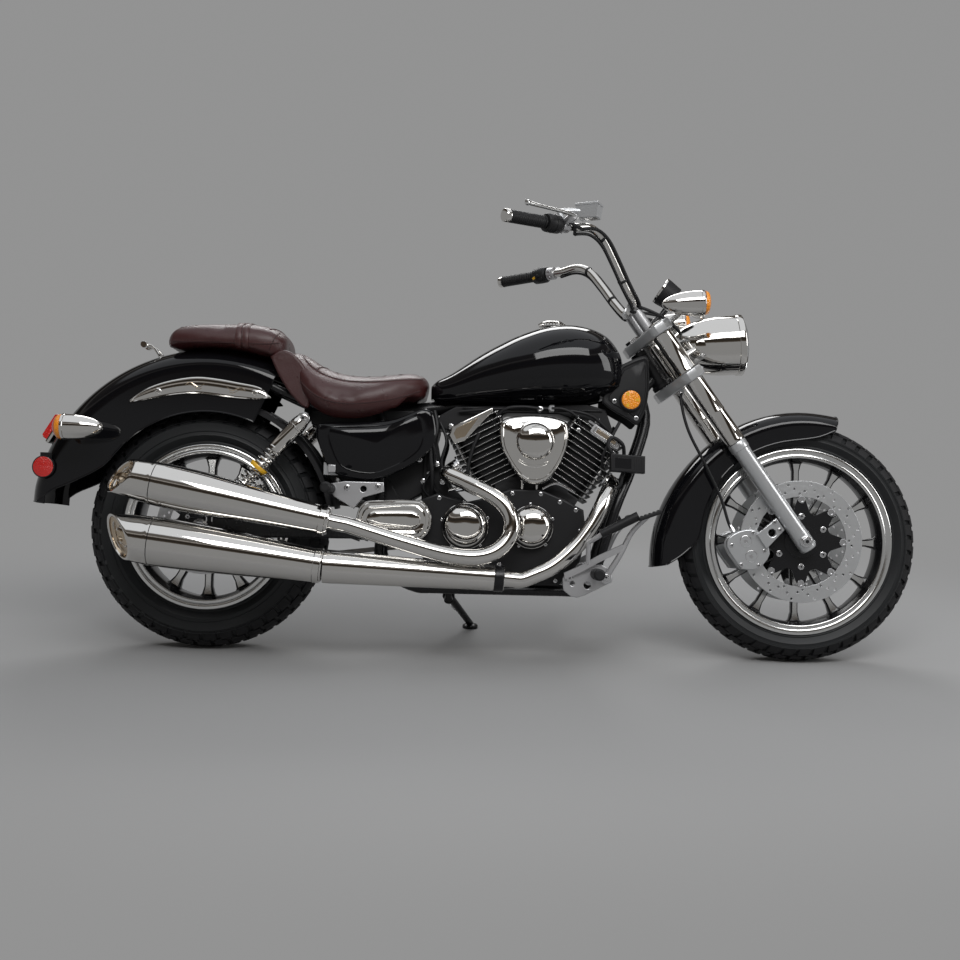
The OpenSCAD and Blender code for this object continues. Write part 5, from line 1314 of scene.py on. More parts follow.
def air_cleaner():
    piece = Piece()
    outline = [(769, 609), (794, 622), (858, 629), (922, 621), (948, 601), (944, 536), (905, 464), (862, 445),
        (823, 462), (776, 532), (767, 584)]
    line = [(p.x, p.y) for p in catmull([(x, z, 0) for x, z in outline + outline[:1]], 5)][:-1]
    cx, cz = 860, 556

    def ring(share, y):
        return [(cx + (x - cx) * share, cz + (z - cz) * share, y) for x, z in line]

    at = lying((0, -85.4, 0), -1)
    piece.loft([ring(0.93, 0), ring(0.93, 26), ring(0.95, 28)], ENGINE, at)
    piece.loft([ring(0.975, 27), ring(0.985, 30), ring(0.985, 40), ring(0.975, 46), ring(0.95, 51), ring(0.91, 54),
        ring(0.88, 54.6), ring(0.86, 53),
                ring(0.83, 53.4), ring(0.7, 58), ring(0.58, 60.8), ring(0.5, 61.4), ring(0.02, 61.6)], CHROME, at)
    # The round bowl in the middle, with a short curved emboss under it
    c = Vector((861, -85.4, 558))
    out = c + Vector((0, -1, 0))
    piece.turned(c, out, [[54, 56], [59, 55], [61, 52], [61, 50], [62, 48.5], [66, 47], [72, 42], [77, 33],
        [80, 20], [81.4, 8], [81.6, 0.1]], CHROME, 72)
    for y, r in ((61.0, 62), (60.5, 67)):
        curl = [(861 + r * math.cos(math.radians(a)), -85.4 - y + 0.5,
            558 + r * math.sin(math.radians(a))) for a in range(230, 311, 5)]
        piece.tube(curl, [0.3 + 1.0 * math.sin(math.pi * k / (len(curl) - 1)) for k in range(len(curl))], CHROME, 6)
    for x, z in ((786, 600), (932, 596), (862, 462)):
        piece.turned((x, -134, z), (x, -135, z), [[0, 7], [3.2, 7], [4.6, 5.6], [4.6, 3], [2.6, 2.6], [2.6, 0.1]],
            CHROME, 20)
    piece.done("air_cleaner_shield", "frame", "chrome", ["air_cleaner"])
    extras = Piece()
    # The intake behind the shield, fittings and lines above it
    extras.tube(catmull([(850, -60, 500), (858, -66, 560), (858, -66, 612)], 4), 18, SATIN, 18)
    extras.turned((905, -60, 652), (905, -86, 652), [[0, 8], [2, 10], [20, 10], [22, 7]], PAINTED, 6)
    extras.turned((874, -60, 650), (874, -88, 650), [[0, 7], [3, 8], [24, 8], [26, 5]], BOLT, 20)
    extras.tube(catmull([(905, -80, 652), (940, -82, 650), (975, -80, 628), (984, -74, 588)], 4), 4, RUBBER, 10)
    extras.tube(catmull([(874, -84, 650), (830, -86, 654), (780, -84, 646), (746, -72, 604)], 4), 4.5, RUBBER, 10)
    extras.tube(catmull([(700, -84, 430), (688, -92, 480), (700, -90, 540), (716, -86, 580)], 4), 5, RUBBER, 10)
    extras.tube(catmull([(590, -60, 400), (596, -84, 452), (590, -90, 510), (584, -84, 560), (566, -52, 590)], 5),
        6, RUBBER, 12)
    extras.tube(catmull([(1000, -70, 350), (1034, -92, 372), (1062, -88, 420), (1080, -76, 470)], 5), 7, RUBBER, 12)
    extras.done("intake_and_lines", "frame", "rubber_black")


def chain():
    piece = Piece()
    d = Vector((602, 0, 10))
    dist, base = d.length, math.atan2(10, 602)
    big, small = 104, 40
    opening = math.acos((big - small) / dist)
    line = [(big * math.cos(base + opening + k * (math.tau - 2 * opening) / 40),
        big * math.sin(base + opening + k * (math.tau - 2 * opening) / 40))
            for k in range(41)]
    line += [(602 + small * math.cos(base - opening + k * 2 * opening / 12),
        10 + small * math.sin(base - opening + k * 2 * opening / 12)) for k in range(13)]
    line.append(line[0])
    along, total = [0.0], 0.0
    for a, b in zip(line, line[1:]):
        total += math.dist(a, b)
        along.append(total)

    def at_length(s):
        s %= total
        for i in range(len(line) - 1):
            if along[i + 1] >= s:
                t = (s - along[i]) / max(along[i + 1] - along[i], 1e-9)
                return Vector((line[i][0] + (line[i + 1][0] - line[i][0]) * t, 0,
                    REAR_R + line[i][1] + (line[i + 1][1] - line[i][1]) * t))

    links = 2 * round(total / 15.875 / 2)
    pitch = total / links
    for k in range(links):
        a, b = at_length(k * pitch), at_length((k + 1) * pitch)
        mid, x = (a + b) / 2, (b - a).normalized()
        z = x.cross(Vector((0, 1, 0)))
        spot = Matrix.Translation(mid + Vector((0, 88, 0))) @ Matrix((x, z, Vector((0, 1, 0)))).transposed().to_4x4()
        wide, height = (6.4, 4.6) if k % 2 else (3.4, 2.2)
        for s in (1, -1):
            link = arc(6.6, 90, 270, 6, -pitch / 2) + arc(6.6, -90, 90, 6, pitch / 2)
            piece.add([(px, py, s * (height - 0.8) + dz) for dz in (-0.8, 0.8) for px, py in link],
                      [list(range(len(link)))[::-1], [len(link) + i for i in range(len(link))]]
                      + [[i, (i + 1) % len(link), len(link) + (i + 1) % len(link),
                      len(link) + i] for i in range(len(link))], CHAIN, spot)
        piece.turned(a + Vector((0, 88 - wide / 1.3, 0)), a + Vector((0, 89, 0)), [[0, 3.4], [wide / 0.65, 3.4]],
            CHAIN, 10)
    teeth = [((29 if k % 4 in (0, 3) else 34) * math.cos(math.tau * k / 60),
        (29 if k % 4 in (0, 3) else 34) * math.sin(math.tau * k / 60)) for k in range(60)]
    piece.plate([teeth], 6, STEEL, lying((602, 85, 330)), 0.4)
    piece.turned((602, 78.3, 330), (602, 91, 330), [[0, 16], [12, 16], [13, 14]], BOLT, 24)
    piece.done("final_drive_chain", "frame", "steel", ["drive_chain"])


def horn():
    piece = Piece()
    piece.plate([[(1058, 487), (1148, 483), (1148, 528), (1058, 533)]], 40, PLASTIC, lying((0, -127.6, 0)), 3)
    piece.plate([[(1070, 496), (1112, 494), (1112, 520), (1070, 523)]], 1.6, GLOSS, lying((0, -128, 0), 1), 0.3)
    for k in range(4):
        piece.plate([[(1120 + 6 * k, 492), (1122.4 + 6 * k, 492), (1122.4 + 6 * k, 521), (1120 + 6 * k, 521)]], 2,
            PLASTIC, lying((0, -128, 0), 1), 0.4)
    piece.tube([(1122, -88, 500), (1122, -73, 500)], 6, SATIN, 14)
    piece.tube(catmull([(1066, -106, 533), (1052, -108, 556), (1064, -104, 576), (1092, -92, 560),
        (1098, -80, 530)], 5), 5, RUBBER, 10)
    piece.tube(catmull([(1092, -106, 485), (1086, -108, 452), (1064, -104, 440), (1048, -92, 452)], 5), 4.5, RUBBER, 10)
    piece.done("regulator_box", "frame", "black_plastic", ["horn"])


# ---- Exhaust ----

UPPER_FRONT, UPPER_BACK = Vector((345, -212, 339)), Vector((-192, -212, 442))
LOWER_FRONT, LOWER_MID, LOWER_BACK = Vector((788, -174, 204)), Vector((330, -200, 226)), Vector((-196, -202, 291))
UPPER_IN, LOWER_IN = (UPPER_FRONT - UPPER_BACK).normalized(), (LOWER_FRONT - LOWER_MID).normalized()


def beside(bank, h, d, y):
    a = math.radians(bank)
    return Vector((850 + h * math.sin(a) + d * math.cos(a), y, 320 + h * math.cos(a) - d * math.sin(a)))


def headers():
    rear = Piece()
    path = [beside(-27, 240, -82 - d, -56) for d in (0.8, 10, 20)] + [beside(-27, 234, -120, -76)]
    path += [(640, -130, 468), (690, -156, 446), (764, -178, 409), (799, -188, 368), (804, -196, 322),
    (776, -206, 280), (722, -216, 258),
             (640, -218, 263), (520, -216, 293), (400, -212, 328), UPPER_FRONT + 30 * UPPER_IN,
             UPPER_FRONT + 0.4 * UPPER_IN]
    line = catmull(path, 6)
    rear.tube(line, 20.6, CHROME, 32)
    flange(rear, path[0], path[0] - beside(-27, 240, -102, -56))
    for k in (30, 46):
        rear.tube(line[k:k + 3], 22, CHROME, 32)
    rear.done("rear_exhaust_pipe", "frame", "chrome", ["rear_header"])
    front = Piece()
    path = [beside(33, 236, 82 + d, -60) for d in (0.8, 7, 14)] + [beside(33, 229, 108, -84)]
    path += [(1052, -116, 430), (1036, -138, 394), (1008, -150, 340), (966, -158, 284), (914, -164, 238),
    (860, -169, 212)]
    path += [LOWER_FRONT + d * LOWER_IN for d in (44, 22, 0.4)]
    line = catmull(path, 6)
    front.tube(line, 20.6, CHROME, 32)
    flange(front, path[0], beside(33, 236, 96, -60) - path[0])
    front.done("front_exhaust_pipe", "frame", "chrome", ["front_header"])


def flange(piece, place, direction):
    spot = Vector(place)
    along = Vector(direction).normalized()
    if (spot - CRANK).dot(along) < 0:
        along = -along
    piece.turned(spot, spot + along, [[0, 28], [4, 28], [5, 26.5], [5, 22], [12, 22], [13, 20.8]], BOLT, 36)


def muffler(piece, front, back, rows, cut, collar):
    """A swelling body and a slash-cut tip, hollow to a baffle with a small hole; cut tilts the opening."""
    length = (back - front).length
    at = facing(back - front, front)
    up = at.inverted().to_3x3() @ Vector((0, -1.5, 1 if cut < 0 else -1))
    cut = -abs(cut)
    phase = math.atan2(up.y, up.x)
    sides = 72
    fine = [(r.x, r.y) for r in catmull([(s, r, 0) for s, r in rows], 6)]

    def radius(s):
        for (s0, r0), (s1, r1) in zip(fine, fine[1:]):
            if s <= s1:
                return r0 + (r1 - r0) * (s - s0) / max(s1 - s0, 1e-9)
        return fine[-1][1]

    def cut_at(t, r):
        # How far back the slanted mouth lies at an angle round the tip, measured from straight up
        return length - 2 + r * math.cos(t - phase) * math.tan(math.radians(cut))

    def ring(s, shrink=0.0):
        r = radius(s) - shrink
        return [at @ Vector((r * math.cos(t), r * math.sin(t),
            s)) for t in (k * math.tau / sides for k in range(sides))]

    def mouth(offset, shrink):
        points = []
        for k in range(sides):
            t = k * math.tau / sides
            s = cut_at(t, radius(length)) - offset
            r = radius(s) - shrink
            points.append(at @ Vector((r * math.cos(t), r * math.sin(t), cut_at(t, r) - offset)))
        return points

    seam = 96
    body_end = length - seam
    stations = [s for s, _ in fine if s < body_end - 8]
    skin = [ring(s) for s in stations] + [ring(body_end)]
    piece.loft(skin, CHROME)
    piece.loft([ring(body_end, 1.2), ring(body_end + 2, 1.4)], SATIN, caps=False)
    # The tip cap, from its seam ring to its rolled mouth
    cap = [ring(body_end + 1, 2), ring(body_end + 2, -0.4), ring(body_end + 7, -0.9), ring(body_end + 9, 0)]
    rolled = [mouth(7, 0), mouth(2.6, 0), mouth(0.8, 1.0), mouth(0, 3), mouth(0.8, 5), mouth(4, 6.4)]
    start, stop = cap[-1], rolled[0]
    between = [[a.lerp(b, k / 5) for a, b in zip(start, stop)] for k in range(1, 5)]
    between = [[at @ on_skin(at.inverted() @ p, radius) for p in line] for line in between]
    piece.loft(cap + between + rolled, CHROME, caps=False)
    # A baffle set square to the slanted mouth, with a raised eye and a hole
    def slanted(offset, share):
        points = []
        for k in range(sides):
            t = k * math.tau / sides
            r = (radius(length) - 6.4) * share
            points.append(at @ Vector((r * math.cos(t), r * math.sin(t), cut_at(t, r) - offset)))
        return points

    piece.loft([mouth(4, 6.4), slanted(8, 0.985), slanted(13, 0.94), slanted(16, 0.80), slanted(15, 0.62),
        slanted(16, 0.46), slanted(10, 0.36),
                slanted(8, 0.31), slanted(10, 0.26), slanted(34, 0.24)], BRONZED, caps=False)
    for k in range(5):
        t0 = k * math.tau / 5
        for reach in (0.50, 0.88):
            r = (radius(length) - 6.4) * reach
            spots = [at @ Vector((r * math.cos(t0 + d), r * math.sin(t0 + d),
                cut_at(t0 + d, r) - 14)) for d in (-0.34, -0.17, 0, 0.17, 0.34)]
            piece.tube(spots, [0.6, 2.2, 3, 2.2, 0.6], CHROME, 8)
    if collar:
        piece.turned(front, back, collar, CHROME, 56)


def on_skin(p, radius):
    """Moves a point of a muffler's frame out or in to its skin."""
    r = math.hypot(p.x, p.y)
    k = radius(p.z) / r
    return Vector((p.x * k, p.y * k, p.z))


def mufflers():
    upper = Piece()
    muffler(upper, UPPER_FRONT, UPPER_BACK, [[0, 26], [4, 35], [40, 37.6], [170, 43.6], [330, 54.6], [430, 55.6],
        [500, 50.6], [600, 41.6]], -40,
            [[8, 37.8], [9, 39.4], [22, 40], [24, 38.6]])
    upper.done("upper_silencer", "frame", "chrome", ["upper_muffler"])
    lower = Piece()
    muffler(lower, LOWER_MID, LOWER_BACK, [[0, 36], [6, 41.6], [60, 45.6], [220, 55.6], [360, 61.6], [440, 61.6],
        [500, 57.6], [600, 49.6]], 40,
            [[4, 42], [5, 44.2], [20, 44.8], [22, 43]])
    lower.turned(LOWER_FRONT, LOWER_MID, [[0, 30], [2, 31.6], [60, 32.6], [440, 42.6], [458, 42.6]], CHROME, 72)
    # The black clamp where the pipe enters
    lower.turned(LOWER_FRONT, LOWER_MID, [[2, 32], [2, 33.4], [4, 34], [24, 34.4], [26, 33.6], [26, 32]], SATIN, 56)
    lower.box((16, 12, 9), lying(LOWER_FRONT + Vector((-14, 0, 32)), -1), SATIN, 2)
    lower.bolt(LOWER_FRONT + Vector((-14, -9, 36)), (0, -1, 0), 4)
    lower.done("lower_silencer", "frame", "chrome", ["lower_muffler"])


def inner_parts():
    """The black guards, trays and lines that fill the frame between the tank, the engine and the rear wheel."""
    piece = Piece()
    rings = []
    for a in range(10, 72, 4):
        ca, sa = math.cos(math.radians(a)), math.sin(math.radians(a))
        rings.append([(r * ca, y, REAR_R + r * sa) for y, r in
                      ((-84, 326), (-84, 338), (-76, 343), (0, 345), (76, 343), (84, 338), (84, 326), (81, 326),
                      (81, 336), (74, 340), (0, 342), (-74, 340), (-81, 336), (-81, 326))])
    piece.loft(rings, PLASTIC)
    for x in (-60, 0, 60):
        piece.tube([(345 * math.cos(math.radians(a)), x,
            REAR_R + 345 * math.sin(math.radians(a))) for a in range(14, 68, 6)], 3, PLASTIC, 8)
    tray = [(592, 596), (612, 632), (652, 655), (1000, 668), (1050, 655), (1070, 600), (1040, 560), (1010, 590),
        (985, 622), (925, 640), (790, 640), (740, 622), (690, 612), (640, 590)]
    piece.plate([tray], 104, PLASTIC, lying((0, -52, 0)), 4)
    back = [(566, 402), (688, 402), (652, 436), (628, 470), (612, 520), (604, 560), (610, 600), (600, 640),
        (560, 636), (572, 588)]
    piece.plate([back], 108, PLASTIC, lying((0, -54, 0)), 4)
    rear = [(300, 470), (356, 420), (470, 380), (520, 392), (470, 470), (352, 500), (352, 596), (560, 600),
        (600, 640), (262, 640), (268, 600), (300, 590)]
    piece.plate([rear], 100, PLASTIC, lying((0, -50, 0)), 4)
    for k in range(6):
        piece.box((52, 5, 3), lying((330, -51, 488 + 18 * k), -1), PLASTIC, 1)
        piece.box((60, 4, 3), lying((700 + 62 * k, -53, 650), -1), SATIN, 1)
    piece.done("inner_guards", "frame", "black_plastic")
    lines = Piece()
    for side in (1, -1):
        for path, r, mat in (
                ([(596, 58, 640), (604, 72, 590), (586, 76, 520), (596, 70, 440), (640, 62, 404)], 5.5, RUBBER),
                ([(612, 56, 610), (630, 70, 560), (618, 74, 500), (640, 68, 430)], 4, RUBBER),
                ([(560, 60, 600), (590, 80, 560), (600, 82, 500), (572, 74, 440), (590, 70, 410)], 4.5, SATIN),
                ([(660, 60, 640), (760, 74, 648), (880, 76, 652), (1000, 70, 640), (1056, 58, 600)], 4.5, RUBBER),
                ([(300, 60, 560), (330, 76, 520), (360, 78, 470), (420, 72, 420)], 5, RUBBER),
                ([(1052, 64, 470), (1040, 84, 520), (1060, 80, 570), (1086, 66, 620)], 4.5, RUBBER),
                ([(640, 100, 430), (690, 104, 440), (730, 98, 424)], 4, BOLT),
                ([(884, 108, 438), (920, 112, 452), (968, 104, 430)], 4, BOLT)):
            lines.tube(catmull([(x, side * y, z) for x, y, z in path], 5), r, mat, 10)
        for x, y, z in ((572, 76, 452), (588, 78, 474), (606, 78, 498), (622, 74, 452), (560, 74, 510),
            (330, 52, 470), (344, 54, 452), (640, 58, 600), (1030, 54, 622)):
            lines.turned((x, side * (y - 10), z), (x, side * y, z),
                [[0, 8], [8, 8], [9, 5.5], [13, 5.5], [14, 4.4]], BOLT, 6)
    # A small silver valve above the passenger's peg, on the right
    lines.box((38, 34, 14), lying((330, -92, 478), -1), PAINTED, 3)
    lines.box((20, 20, 10), lying((334, -106, 478), -1), CAST, 2)
    lines.tube([(330, -50, 478), (330, -94, 478)], 6, SATIN, 12)
    lines.turned((334, -92, 506), (334, -98, 506), [[0, 8], [6, 8], [7, 6], [10, 6]], BOLT, 16)
    lines.done("hoses_and_fittings", "frame", "rubber_black")


# ---- Foot controls and stand ----


def feet():
    piece = Piece()
    y = 105.3

    def control(side):
        bracket = [(940, 178), (945, 222), (1035, 246), (1064, 208), (1040, 190), (974, 160)]
        holes = [circle(6, 16, 962, 196), circle(9, 20, 1000, 192)]
        line = [(p.x, p.y) for p in catmull([(x, z, 0) for x, z in bracket + bracket[:1]], 3)][:-1]
        if side > 0:
            at = lying((0, y + 52.4, 0))
        else:
            at = lying((0, -y - 63.6, 0))
        piece.plate([line] + holes, 11.2, CAST, at, 2)
        piece.tube([(1005, side * y, 205), (1005, side * (y + 56), 205)], 13, CAST, 28)
        for x, z, r in ((1020, 221, 9), (1046, 208, 8), (955, 210, 6)):
            piece.bolt((x, side * (y + 63.6), z), (0, side, 0), r)
        # The footpeg and its grooved rubber
        peg = [[0, 9]] + [[8 + 10 * k + d, r] for k in range(10) for d,
            r in ((0, 14.6), (7, 14.6), (8, 13), (9, 13))] + [[110, 14.6], [114, 10]]
        piece.turned((1020, side * (y + 74), 222), (1020, side * (y + 190), 222), peg, RUBBER, 28)
        piece.tube([(1020, side * (y + 60), 222), (1020, side * (y + 80), 222)], 11, CAST, 24)
        arm = catmull([(1046, y + 72, 214), (1080, y + 76, 270), (1110, y + 78, 330), (1150, y + 96, 372)], 5)
        piece.tube([(p.x, side * p.y, p.z) for p in arm], [8 - 0.16 * k for k in range(len(arm))], CAST, 16)
        piece.tube([(1046, side * (y + 60), 214), (1046, side * (y + 82), 214)], 10, CAST, 24)
        piece.bolt((1046, side * (y + 82), 214), (0, side, 0), 6)
        sweep = catmull([(940, y + 66, 214), (985, y + 70, 236), (1030, y + 74, 262), (1086, y + 78, 290)], 4)
        rings = [[(p.x + a, side * (p.y + b), p.z + c) for a, b,
            c in ((0, -5, 9), (0, 5, 8), (3, 5, -8), (3, -5, -9))] for p in sweep]
        piece.loft(rings, CAST)
        piece.tube([(1030, side * (y + 92), 322), (1123, side * (y + 98), 371)], [11, 12], RUBBER, 20)
        piece.tube([(1000, side * (y + 80), 300), (1036, side * (y + 92), 325)], 6, CAST, 14)
        piece.tube([(1000, side * (y + 80), 300), (1000, side * (y + 72), 246)], 6, CAST, 14)
        if side < 0:
            pad = facing((-0.35, 0, 0.94), (1150, side * (y + 120), 372))
            piece.box((24, 58, 10), pad @ Matrix.Translation((0, 0, -5)), RUBBER, 2)
            for k in range(5):
                piece.box((20, 4, 2.4), pad @ Matrix.Translation((0, -22 + 11 * k, 4.4)), RUBBER, 0.8)
        else:
            grooves = [[0, 9]] + [[4 + 10 * k + d, r] for k in range(5) for d,
                r in ((0, 11.6), (7, 11.6), (8, 10), (9, 10))] + [[56, 11], [58, 7]]
            piece.turned((1150, y + 92, 372), (1150, y + 150, 372), grooves, RUBBER, 24)

    both(control)
    piece.done("forward_controls", "frame", "silver_paint", ["foot_controls"])
    pegs = Piece()

    def peg(side):
        outline = [(320, 436), (372, 445), (472, 444), (474, 420), (420, 404), (396, 374), (345, 404)]
        pegs.plate([outline, circle(8, 20, 420, 426)], 9, CAST, lying((0, 124.5 if side > 0 else -133.5, 0)), 2)
        grooves = [[0, 10]] + [[10 + 10 * k + d, r] for k in range(10) for d,
            r in ((0, 13.8), (7, 13.8), (8, 12.2), (9, 12.2))] + [[112, 13.4], [116, 9]]
        pegs.turned((336, side * 138, 424), (336, side * 254, 424), grooves, RUBBER, 28)
        pegs.tube([(336, side * 130, 424), (336, side * 142, 424)], 13.6, CAST, 24)
        pegs.tube([(458, side * 79.5, 430), (458, side * 126, 430)], 9, SATIN, 16)
        for x, z in ((458, 432), (378, 428)):
            pegs.bolt((x, side * 133.5, z), (0, side, 0), 6)

    both(peg)
    pegs.done("passenger_pegs", "frame", "steel", ["rear_pegs"])


STAND_PIVOT = Vector((640, 128, 150))


def stand():
    piece = Piece()
    foot = Vector((700, 262, 65 + (262 * math.sin(-LEAN if LEAN < 0 else LEAN) - 65) / math.cos(LEAN)))
    axis = Vector((0, 0.8, 0.6))
    piece.turned(STAND_PIVOT - 12 * axis, STAND_PIVOT + 12 * axis, [[0, 15.5], [1.4, 17], [22.6, 17], [24, 15.5]],
        SATIN, 36)
    piece.bolt(STAND_PIVOT + 12 * axis, axis, 8)
    top, low = STAND_PIVOT + Vector((0, 4, -4)), foot + Vector((0, -6, 12))
    piece.tube([top, top.lerp(low, 0.5), low], [11, 10, 9.4], SATIN, 20)
    tilt = Matrix.Translation(foot) @ Matrix.Rotation(abs(LEAN), 4, "X")
    piece.turned(tilt @ Vector((0, 0, 0)), tilt @ Vector((0, 0, 12)),
        [[0, 21], [0.6, 22], [7, 22], [10, 19], [12, 12]], SATIN, 36)
    # Its spring, beside the leg
    a, b = top.lerp(low, 0.12) + Vector((-13, 0, 0)), top.lerp(low, 0.52) + Vector((-10, 0, 0))
    spot, length = facing(b - a, a), (b - a).length
    piece.tube([spot @ Vector((4.6 * math.cos(t), 4.6 * math.sin(t),
        length * t / (14 * math.tau))) for t in (k * math.tau / 10 for k in range(141))], 1.2, STEEL, 6)
    piece.done("kickstand", "stand", "frame_black", ["side_stand"])


# ---- Fork and what turns with it ----


def fork():
    yokes = Piece()
    for z in (LOWER_YOKE, UPPER_YOKE):
        half = [(-89, 24), (-65, 40), (-30, LEG_Y + 22), (-12, LEG_Y + 36), (14, LEG_Y + 36), (34, LEG_Y + 18),
            (34, LEG_Y - 14), (18, LEG_Y - 30), (8, 0)]
        line = half + [(x, -y) for x, y in half[::-1][1:]]
        yokes.plate([line, circle(20.3, 36, 0, LEG_Y), circle(20.3, 36, 0, -LEG_Y)], YOKE_T, PAINTED,
            Matrix.Translation((0, 0, z)), 4)
        for s in (1, -1):
            yokes.bolt((34, s * (LEG_Y + 2), z + YOKE_T / 2), (1, 0, 0), 6)
            yokes.bolt((34, s * (LEG_Y - 8), z + YOKE_T / 2), (1, 0, 0), 4)
    yokes.turned((-55, 0, LOWER_YOKE + 2), (-55, 0, UPPER_YOKE + 20), [[0, 13], [158, 13]], STEEL, 28)
    yokes.turned((-55, 0, UPPER_YOKE + YOKE_T), (-55, 0, UPPER_YOKE + YOKE_T + 20),
        [[0, 19], [1, 20], [9, 20], [10, 18]], BOLT, 6)
    for s in (1, -1):
        base = UPPER_YOKE + YOKE_T - 1
        top = 762 - 11.3
        yokes.turned((-11, s * 52, base), (-11, s * 52, top),
            [[0, 20], [3, 20], [6, 15.4], [top - base - 14, 15.4], [top - base, 15]], CAST, 36)
    yokes.done("triple_clamps", "fork", "silver_paint", ["yokes"], space=FORK)

    covers = Piece()
    legs = Piece()
    for s in (1, -1):
        y = s * LEG_Y
        covers.turned((0, y, 312), (0, y, 400),
            [[0, 24], [1, 26.6], [6, 27], [8, 26.4], [90, 26.4], [92, 27], [96, 27], [98, 26.4],
                                                 [LOWER_YOKE - 314, 26.4], [LOWER_YOKE - 313, 27],
                                                 [LOWER_YOKE - 312.4, 24]], CHROME, 56)
        covers.turned((0, y, LOWER_YOKE + YOKE_T + 0.4), (0, y, 900),
            [[0, 24], [1, 27], [5, 27], [6, 26.4], [112, 26.4], [113, 27], [118, 27], [119, 24]], CHROME, 56)
        covers.turned((0, y, 500), (0, y, 900),
            [[0, 19.8], [UPPER_YOKE + YOKE_T - 496, 19.8], [UPPER_YOKE + YOKE_T - 494, 18]], CHROME, 40)
        covers.turned((0, y, UPPER_YOKE + YOKE_T + 4), (0, y, 900), [[0, 15], [2, 13.5], [2, 8]], BOLT, 6)
        legs.turned((0, y, -26), (0, y, 300),
            [[0, 15], [2, 20], [8, 23], [20, 23.5], [44, 23.5], [60, 22.6], [300, 22.6], [314, 23.4], [316, 25.4],
                                               [322, 25.5], [334, 25.5], [337.4, 24]], PAINTED, 56)
        legs.turned((0, y, 310.6), (0, y, 312), [[0, 23], [0.6, 23.6], [1.0, 23.6]], RUBBER, 40)
        legs.turned((0, y - s * (LEG_Y - 67.3), 286.5), (0, y, 286.5), [[0, 9], [1, 11], [29, 11]], PAINTED, 28)
        # The axle pinch
        legs.turned((0, y - 24.6, 0), (0, y + 24.6, 0), [[0, 15.5], [1.5, 17], [47.7, 17], [49.2, 15.5]], PAINTED, 40)
        for dz in (-15, 15):
            legs.bolt((20, y, dz), (1, 0, 0), 4.5)
    covers.done("fork_shrouds", "fork", "chrome", ["fork_covers"], space=FORK)
    legs.done("fork_lowers", "fork", "silver_paint", ["fork_legs"], space=FORK)

    axle = Piece()
    axle.turned((0, -135.5, 0), (0, 135.5, 0), [[0, 8.6], [1, 10], [270, 10], [271, 8.6]], STEEL, 32)
    for s in (1, -1):
        axle.bolt((0, s * 126.8, 0), (0, s, 0), 11)
    axle.done("front_spindle", "fork", "steel", ["front_axle"], space=FORK)


def calipers():
    piece = Piece()

    def one(side):
        shell = [(-56, -30), (-20, -52), (28, -38), (38, 10), (24, 42), (-20, 58), (-54, 42)]
        line = [(p.x - 118, p.y + 60) for p in catmull([(x, z, 0) for x, z in shell + shell[:1]], 3)][:-1]
        for y0, t in ((49.4, 12), (80.2, 16.4)):
            at = Matrix.Translation((0, side * y0 if side > 0 else -y0 - t, 0)) @ Matrix.Rotation(math.radians(90),
                4, "X") @ Matrix.Scale(-1, 4, (0, 0, 1))
            piece.plate([line], t, PAINTED, at, 3)
        # The pistons and bolts
        for px, pz in ((-134, 44), (-124, 84)):
            piece.turned((px, side * 95, pz), (px, side * 99, pz),
                [[0, 16], [1.6, 16], [2, 14.6], [0.8, 14], [0.8, 6], [1.8, 5], [1.8, 0.1]], BOLT, 40)
        for px, pz in ((-168, 40), (-160, 96), (-98, 36), (-96, 92), (-132, 14)):
            piece.bolt((px, side * 96.4, pz), (0, side, 0), 4)
        # Pads either side of the disc
        for y0 in (62.4, 75.0):
            at = Matrix.Translation((0, y0 if side > 0 else -y0 - 4.2, 0)) @ Matrix.Rotation(math.radians(90), 4,
                "X") @ Matrix.Scale(-1, 4, (0, 0, 1))
            piece.plate([[(-150, 34), (-110, 30), (-104, 92), (-146, 96)]], 4.2, BRONZED, at, 0.6)
        # The arm to the fork leg
        at = Matrix.Translation((0, 88 if side > 0 else -106, 0)) @ Matrix.Rotation(math.radians(90), 4,
            "X") @ Matrix.Scale(-1, 4, (0, 0, 1))
        piece.plate([[(-92, 38), (-24.2, 53), (-24.2, 91), (-92, 83)], circle(10, 20, -56, 65)], 18, PAINTED, at, 3)
        for pz in (60, 84):
            piece.bolt((-36, side * 106, pz), (0, side, 0), 4.5)

    both(one)
    piece.done("brake_calipers", "fork", "silver_paint", ["front_calipers"], space=FORK)
    hose = Piece()
    path = [(-34, -80, LOWER_YOKE - 3), (-56, -86, 478), (-84, -92, 404), (-98, -92, 300), (-112, -88, 214),
        (-132, -88, 150), (-136, -88, 121.4)]
    hose.tube(catmull(path, 6), 3.9, RUBBER, 14)
    hose.turned(path[-1], path[-2], [[0, 5], [1, 6.4], [12, 6.4], [13, 4.6], [20, 4.4]], BOLT, 6)
    hose.turned(path[0], path[1], [[0, 6.6], [10, 6.6], [11, 4.6]], BOLT, 6)
    hose.done("brake_line", "fork", "rubber_black", ["brake_hoses"], space=FORK)
    rear = Piece()
    at = Matrix.Translation((0, 0, REAR_R)) @ Matrix.Rotation(math.radians(-24), 4,
        "Y") @ Matrix.Translation((105, 0, 0))
    for y0, t in ((-103.4, 9.4), (-77, 12)):
        rear.plate([[(-16, -34), (40, -29), (40, 29), (-16, 34)]], t, PAINTED, at @ lying((0, y0, 0)), 3)
    rear.plate([[(28, -28), (40, -28), (40, 28), (28, 28)]], 38, PAINTED, at @ lying((0, -103, 0)), 2)
    for x, z in ((-8, -24), (-8, 24), (32, 0)):
        rear.bolt(at @ Vector((x, -103.4, z)), (0, -1, 0), 4)
    rear.done("rear_brake_caliper", "frame", "silver_paint", ["rear_caliper"])


